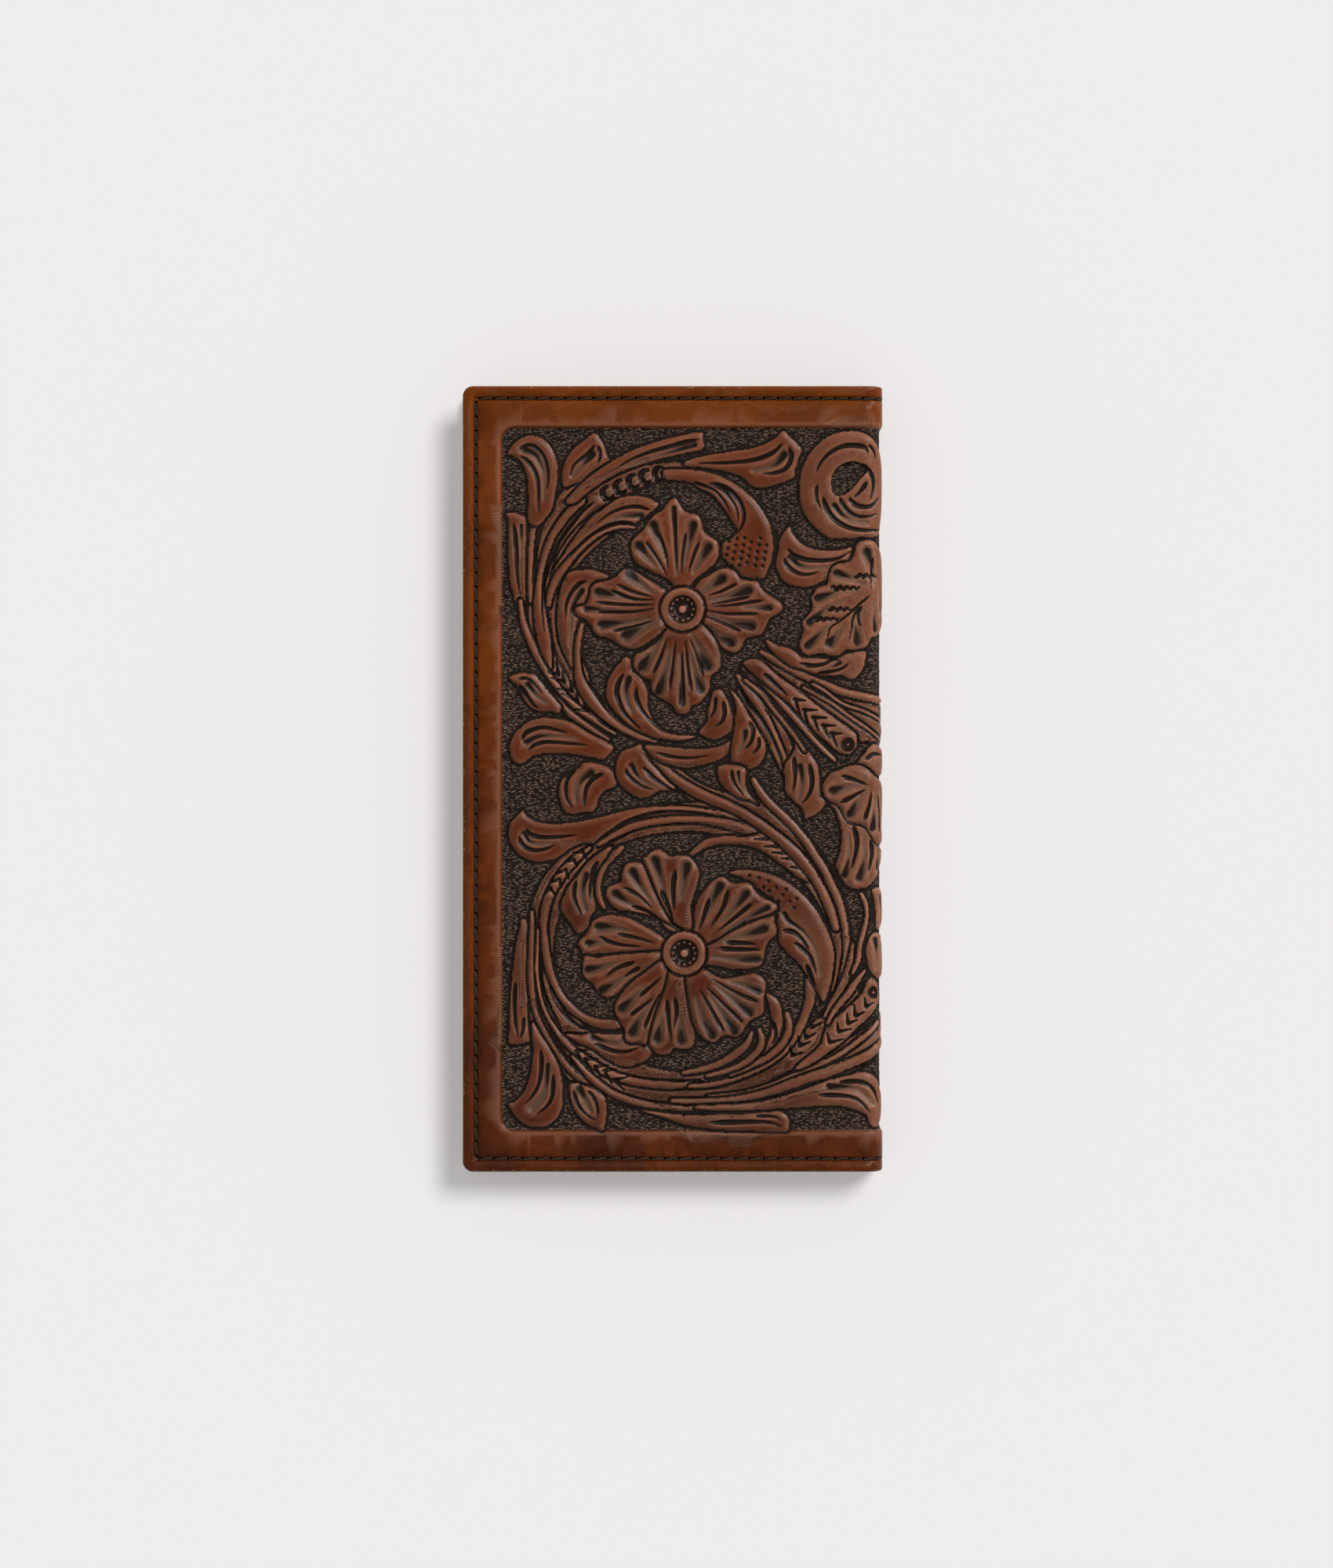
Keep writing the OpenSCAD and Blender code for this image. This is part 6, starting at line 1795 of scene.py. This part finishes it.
class DressBackPockets(bpy.types.Operator):
    """Makes the bill panel, the checkbook pocket and the hem on the back half"""

    bl_idname = "checkbook_cover.back_pockets"
    bl_label = "Back pockets"

    def execute(self, context):
        hide = pocket_hide()
        panel = plate("back_bill_panel", PANEL_CORNERS)
        dress_sheet("back_bill_panel", "back_bill_pocket", "back", [panel], hide)
        thumb = arc(box_mm("checkbook_pocket")[1][0], 0, mm(sizes().thumb), 270, 90, 24)
        pocket = plate("checkbook_pocket", (2, 1.6, 1.6, 2), thumb)
        dress_sheet("checkbook_pocket", "checkbook_pocket_front", "back", [pocket], hide)
        hem = plate("flap_hem", (1.6,) * 4)
        dress_sheet("flap_hem", "flap_binding", "back", [hem], hide, crease=0)
        return {"FINISHED"}


class DressFlap(bpy.types.Operator):
    """Makes the clear flap that turns over between a check and its copy"""

    bl_idname = "checkbook_cover.flap"
    bl_label = "Clear flap"

    def execute(self, context):
        flap = plate("duplicate_flap", (6, 0.5, 0.5, 6))
        dress_sheet("duplicate_flap", "clear_flap", "flap", [flap], material(clear_sheet),
                    "clear_film", crease=0)
        return {"FINISHED"}


def card_outline(node, tail):
    """A card strip: a band as wide as the pocket over a narrower tail"""
    (x0, y0, _), (x1, y1, _) = box_mm(node)
    r, cut = 1.6, mm(sizes().tail_cut)
    return (
        arc(x0 + cut + r, y0 + r, r, 180, 270) + arc(x1 - cut - r, y0 + r, r, 270, 360)
        + [(x1 - cut, y0 + tail), (x1, y0 + tail)]
        + arc(x1 - r, y1 - r, r, 0, 90) + arc(x0 + r, y1 - r, r, 90, 180)
        + [(x0, y0 + tail), (x0 + cut, y0 + tail)]
    )


class DressFrontPockets(bpy.types.Operator):
    """Makes the bill panel, card pockets and window pocket on the front half"""

    bl_idname = "checkbook_cover.front_pockets"
    bl_label = "Front pockets"

    def execute(self, context):
        s = sizes()
        hide = pocket_hide()
        panel = plate("front_bill_panel", PANEL_CORNERS)
        dress_sheet("front_bill_panel", "front_bill_pocket", "front", [panel], hide)
        step, ramp, pitch = mm(s.card_step), mm(s.card_ramp), mm(s.card_pitch)
        for k in range(1, 5):
            node = f"card_pocket_{k}"
            foot, top = box_mm(node)[0][1], box_mm(node)[1][1]

            def floor(y, foot=foot, behind=min(k - 1, 2)):
                """How far the strips behind this one lift it"""
                return sum(
                    (step * np.clip((y - foot - j * pitch + ramp) / ramp, 0, 1)
                     for j in range(1, behind + 1)), 0.0 * y)

            tail = (top - foot) - pitch - ramp
            outline = card_outline(node, tail) if k < 4 else plate(node, (1.6,) * 4)
            dress_sheet(node, f"card_slot_{k}", "front", [outline], hide, thick=mm(s.card),
                        floor=floor, crease=1.3, lattice=1.0)
        (x0, y0, _), (x1, y1, _) = box_mm("window_frame")
        b, r = mm(s.window_border), mm(s.window_corner)
        hole = round_plate(x0 + b, y0 + b, x1 - b, y1 - b, (r,) * 4)[::-1]
        outline = (
            arc(x0 + 2, y0 + 2, 2, 180, 270) + arc(x1 - 3, y0 + 3, 3, 270, 360)
            + arc(x1 - 1.6, y1 - 1.6, 1.6, 0, 90)
            + arc((x0 + x1) / 2, y1, mm(s.window_thumb), 360, 180, 16)
            + arc(x0 + 1.6, y1 - 1.6, 1.6, 90, 180)
        )
        dress_sheet("window_frame", "window_pocket", "front", [outline, hole], hide, crease=0.9)
        dress_sheet("window_film", "window_clear", "front", [plate("window_film", (6,) * 4)],
                    material(clear_sheet), "clear_film", FILM_GAP, crease=0)
        return {"FINISHED"}


def outer_rows(wrap):
    """Stitches in the groove of one half of the outer leather, each a little askew"""
    lift = -0.5 * mm(sizes().thread) * OUTER_THREAD
    rows = []
    for u, v, du, dv in seam_runs(wrap):
        du, dv = du - 0.14 * dv, dv + 0.14 * du
        here = np.array([u - 0.1 * du, u + 0.1 * du, u])
        there = np.array([v - 0.1 * dv, v + 0.1 * dv, v])
        low = wrap.place(here, there, np.full(3, lift)) / MM
        high = wrap.place(here[2:], there[2:], np.array([lift + 1.0])) / MM
        way = low[1] - low[0]
        rows.append((low[2], way / np.linalg.norm(way), high[0] - low[2]))
    return rows


def sew(name, body, node, rows):
    """Makes the stitches of a seam, ties them to its body and hides its solid"""
    join_body(stitch_piece(name, rows, material(waxed_thread)), body, "thread", node)


class SewEdges(bpy.types.Operator):
    """Sews the seams round the edges, outside and inside"""

    bl_idname = "checkbook_cover.edge_stitches"
    bl_label = "Edge stitches"

    def execute(self, context):
        s = sizes()
        thread = material(waxed_thread)
        dress_halves(
            lambda wrap, name: stitch_piece(name, outer_rows(wrap), thread, OUTER_THREAD),
            ("front_edge_stitches", "front_edge_thread"),
            ("back_edge_stitches", "back_edge_thread", "spine_thread"),
        )
        rise, up = mm(s.thread) * 0.5, (0, 0, 1)
        _, (x1, _, z1) = box_mm("checkbook_pocket")
        _, (panel_x1, _, panel_z1) = box_mm("back_bill_panel")
        seam_x = mm(BACK_LOW.x + s.seam_inset)
        seam_y = mm(BACK_HIGH.y - s.seam_inset)
        rows = row((seam_x, -seam_y, z1 + rise), (seam_x, seam_y, z1 + rise), up)
        for y in (-seam_y, seam_y):
            rows += row((seam_x, y, z1 + rise), (x1, y, z1 + rise), up)
            rows += row((x1, y, panel_z1 + rise), (panel_x1, y, panel_z1 + rise), up)
        sew("back_inner_stitches", "back", "back_edge_thread", rows)
        (_, y0, _), (x1, y1, z1) = box_mm("flap_hem")
        x, z = x1 - mm(s.side_seam), z1 + rise
        sew("binding_stitches", "back", "hem_thread", row((x, y0 + 1, z), (x, y1 - 1, z), up))
        return {"FINISHED"}


class SewFrontPockets(bpy.types.Operator):
    """Sews the card pockets and the window pocket"""

    bl_idname = "checkbook_cover.pocket_stitches"
    bl_label = "Pocket stitches"

    def execute(self, context):
        s = sizes()
        rise, down = mm(s.thread) * 0.5, (0, 0, -1)
        seam_x = mm(FRONT_LOW.x + s.seam_inset)
        seam_y = mm(FRONT_HIGH.y - s.seam_inset)
        cards = [box_mm(f"card_pocket_{k}") for k in range(1, 5)]
        (x0, wy0, wz0), (x1, wy1, _) = box_mm("window_frame")
        base = cards[0][1][2]
        step, card, ramp, pitch = (mm(a) for a in (s.card_step, s.card, s.card_ramp, s.card_pitch))
        foot = cards[3][0][1]
        side_x = x1 - mm(s.side_seam)

        def card_side(x):
            """A seam down the ends of the strips, in runs that step with them"""
            rows = []
            for k in range(1, 4):
                z = base - (min(k - 1, 2) * step + card + rise)
                top = cards[k - 1][1][1]
                rows += row((x, top - pitch + ramp, z), (x, top, z), down)
            for j in range(3):
                z = base - (j * step + card + rise)
                high = min(cards[3][1][1], foot + (j + 1) * pitch - ramp)
                rows += row((x, foot + j * pitch, z), (x, high, z), down)
            return rows

        flat, face = base - rise, wz0 - rise
        rows = row((seam_x, seam_y, flat), (x1, seam_y, flat), down)
        rows += row((seam_x, -seam_y, face), (x1, -seam_y, face), down)
        rows += row((seam_x, cards[0][1][1], flat), (seam_x, seam_y, flat), down)
        rows += card_side(seam_x)
        rows += row((seam_x, wy1, flat), (seam_x, foot, flat), down)
        rows += row((seam_x, -seam_y, face), (seam_x, wy1, face), down)
        sew("front_inner_stitches", "front", "front_edge_thread", rows)
        z, inset = base - card - rise, mm(s.side_seam)
        y = foot + inset
        rows = card_side(side_x) + row((seam_x + inset, y, z), (side_x - inset, y, z), down)
        sew("card_stitches", "front", "card_pocket_thread", rows)
        b = mm(s.window_border - s.window_seam)
        r = mm(s.window_corner + s.window_seam) / 2
        rows = row((side_x, wy0 + mm(s.seam_inset), face), (side_x, wy1, face), down)
        for x in (x0 + b, x1 - b):
            rows += row((x, wy0 + b + r, face), (x, wy1 - b - r, face), down)
        for y in (wy0 + b, wy1 - b):
            rows += row((x0 + b + r, y, face), (x1 - b - r, y, face), down)
        sew("window_stitches", "front", "window_thread", rows)
        return {"FINISHED"}


class BuildStage(bpy.types.Operator):
    """Lays the pale floor, sets the lamps and the camera"""

    bl_idname = "checkbook_cover.stage"
    bl_label = "Stage"

    def execute(self, context):
        scene = context.scene
        scene.view_settings.view_transform = "Standard"
        mesh = bpy.data.meshes.new("floor")
        reach = FLOOR_REACH
        corners = [(-reach, -reach, 0), (reach, -reach, 0), (reach, reach, 0), (-reach, reach, 0)]
        mesh.from_pydata(corners, [], [(0, 1, 2, 3)])
        floor = bpy.data.objects.new("floor", mesh)
        scene.collection.objects.link(floor)
        f = Finish("pale_floor")
        tone = f.noise(0.02, 2.0).mix(colours().floor, tuple(c * 0.997 for c in colours().floor))
        mesh.materials.append(f.close(Base_Color=tone, Roughness=0.9, Specular_IOR_Level=0.0))
        world = bpy.data.worlds.new("soft_room")
        world.use_nodes = True
        sky = world.node_tree.nodes["Background"].inputs
        sky["Color"].default_value = (1, 1, 1, 1)
        sky["Strength"].default_value = 0.25
        scene.world = world
        for name, turn, tilt, power, soft, shadow in (
            ("relief", 38.0, 62.0, 2.1, 10.0, False),
            ("above", 46.0, 32.0, 1.64, 20.0, True),
        ):
            lamp = bpy.data.lights.new(name, "SUN")
            lamp.energy = power
            lamp.angle = math.radians(soft)
            lamp.use_shadow = shadow
            made = bpy.data.objects.new(name, lamp)
            made.rotation_euler = (0, math.radians(tilt), math.radians(turn))
            scene.collection.objects.link(made)
        camera = bpy.data.cameras.new("camera")
        camera.lens = 100
        view = bpy.data.objects.new("camera", camera)
        high = PHOTO_PIXELS[1] * PIXEL_SIZE
        far = camera.lens * high / camera.sensor_width
        x = (PHOTO_PIXELS[0] / 2 - PHOTO_CENTRE[0]) * PIXEL_SIZE
        y = (PHOTO_CENTRE[1] - PHOTO_PIXELS[1] / 2) * PIXEL_SIZE
        view.location = (x, y, FRONT_HIGH.z + far)
        scene.collection.objects.link(view)
        scene.camera = view
        return {"FINISHED"}


STEPS = (
    BuildStage, DressTooledLeather, DressLining, DressBackPockets, DressFlap,
    DressFrontPockets, SewEdges, SewFrontPockets,
)


class CheckbookCoverPanel(bpy.types.Panel):
    """Lists the steps that dress the cover, with its sizes and colours"""

    bl_idname = "VIEW3D_PT_checkbook_cover"
    bl_label = "Checkbook Cover"
    bl_space_type = "VIEW_3D"
    bl_region_type = "UI"
    bl_category = "Checkbook Cover"

    def draw(self, context):
        for step in STEPS:
            self.layout.operator(step.bl_idname)
        for group in (context.scene.checkbook_cover_sizes, context.scene.checkbook_cover_colours):
            box = self.layout.box()
            for name in group.__annotations__:
                box.prop(group, name)


CLASSES = (CheckbookCoverSizes, CheckbookCoverColours, *STEPS, CheckbookCoverPanel)


def register():
    for part in CLASSES:
        bpy.utils.register_class(part)
    bpy.types.Scene.checkbook_cover_sizes = bpy.props.PointerProperty(type=CheckbookCoverSizes)
    bpy.types.Scene.checkbook_cover_colours = bpy.props.PointerProperty(
        type=CheckbookCoverColours)


def unregister():
    del bpy.types.Scene.checkbook_cover_colours
    del bpy.types.Scene.checkbook_cover_sizes
    for part in reversed(CLASSES):
        bpy.utils.unregister_class(part)


def main():
    register()
    for step in STEPS:
        group, name = step.bl_idname.split(".")
        getattr(getattr(bpy.ops, group), name)()


if __name__ == "__main__":
    main()
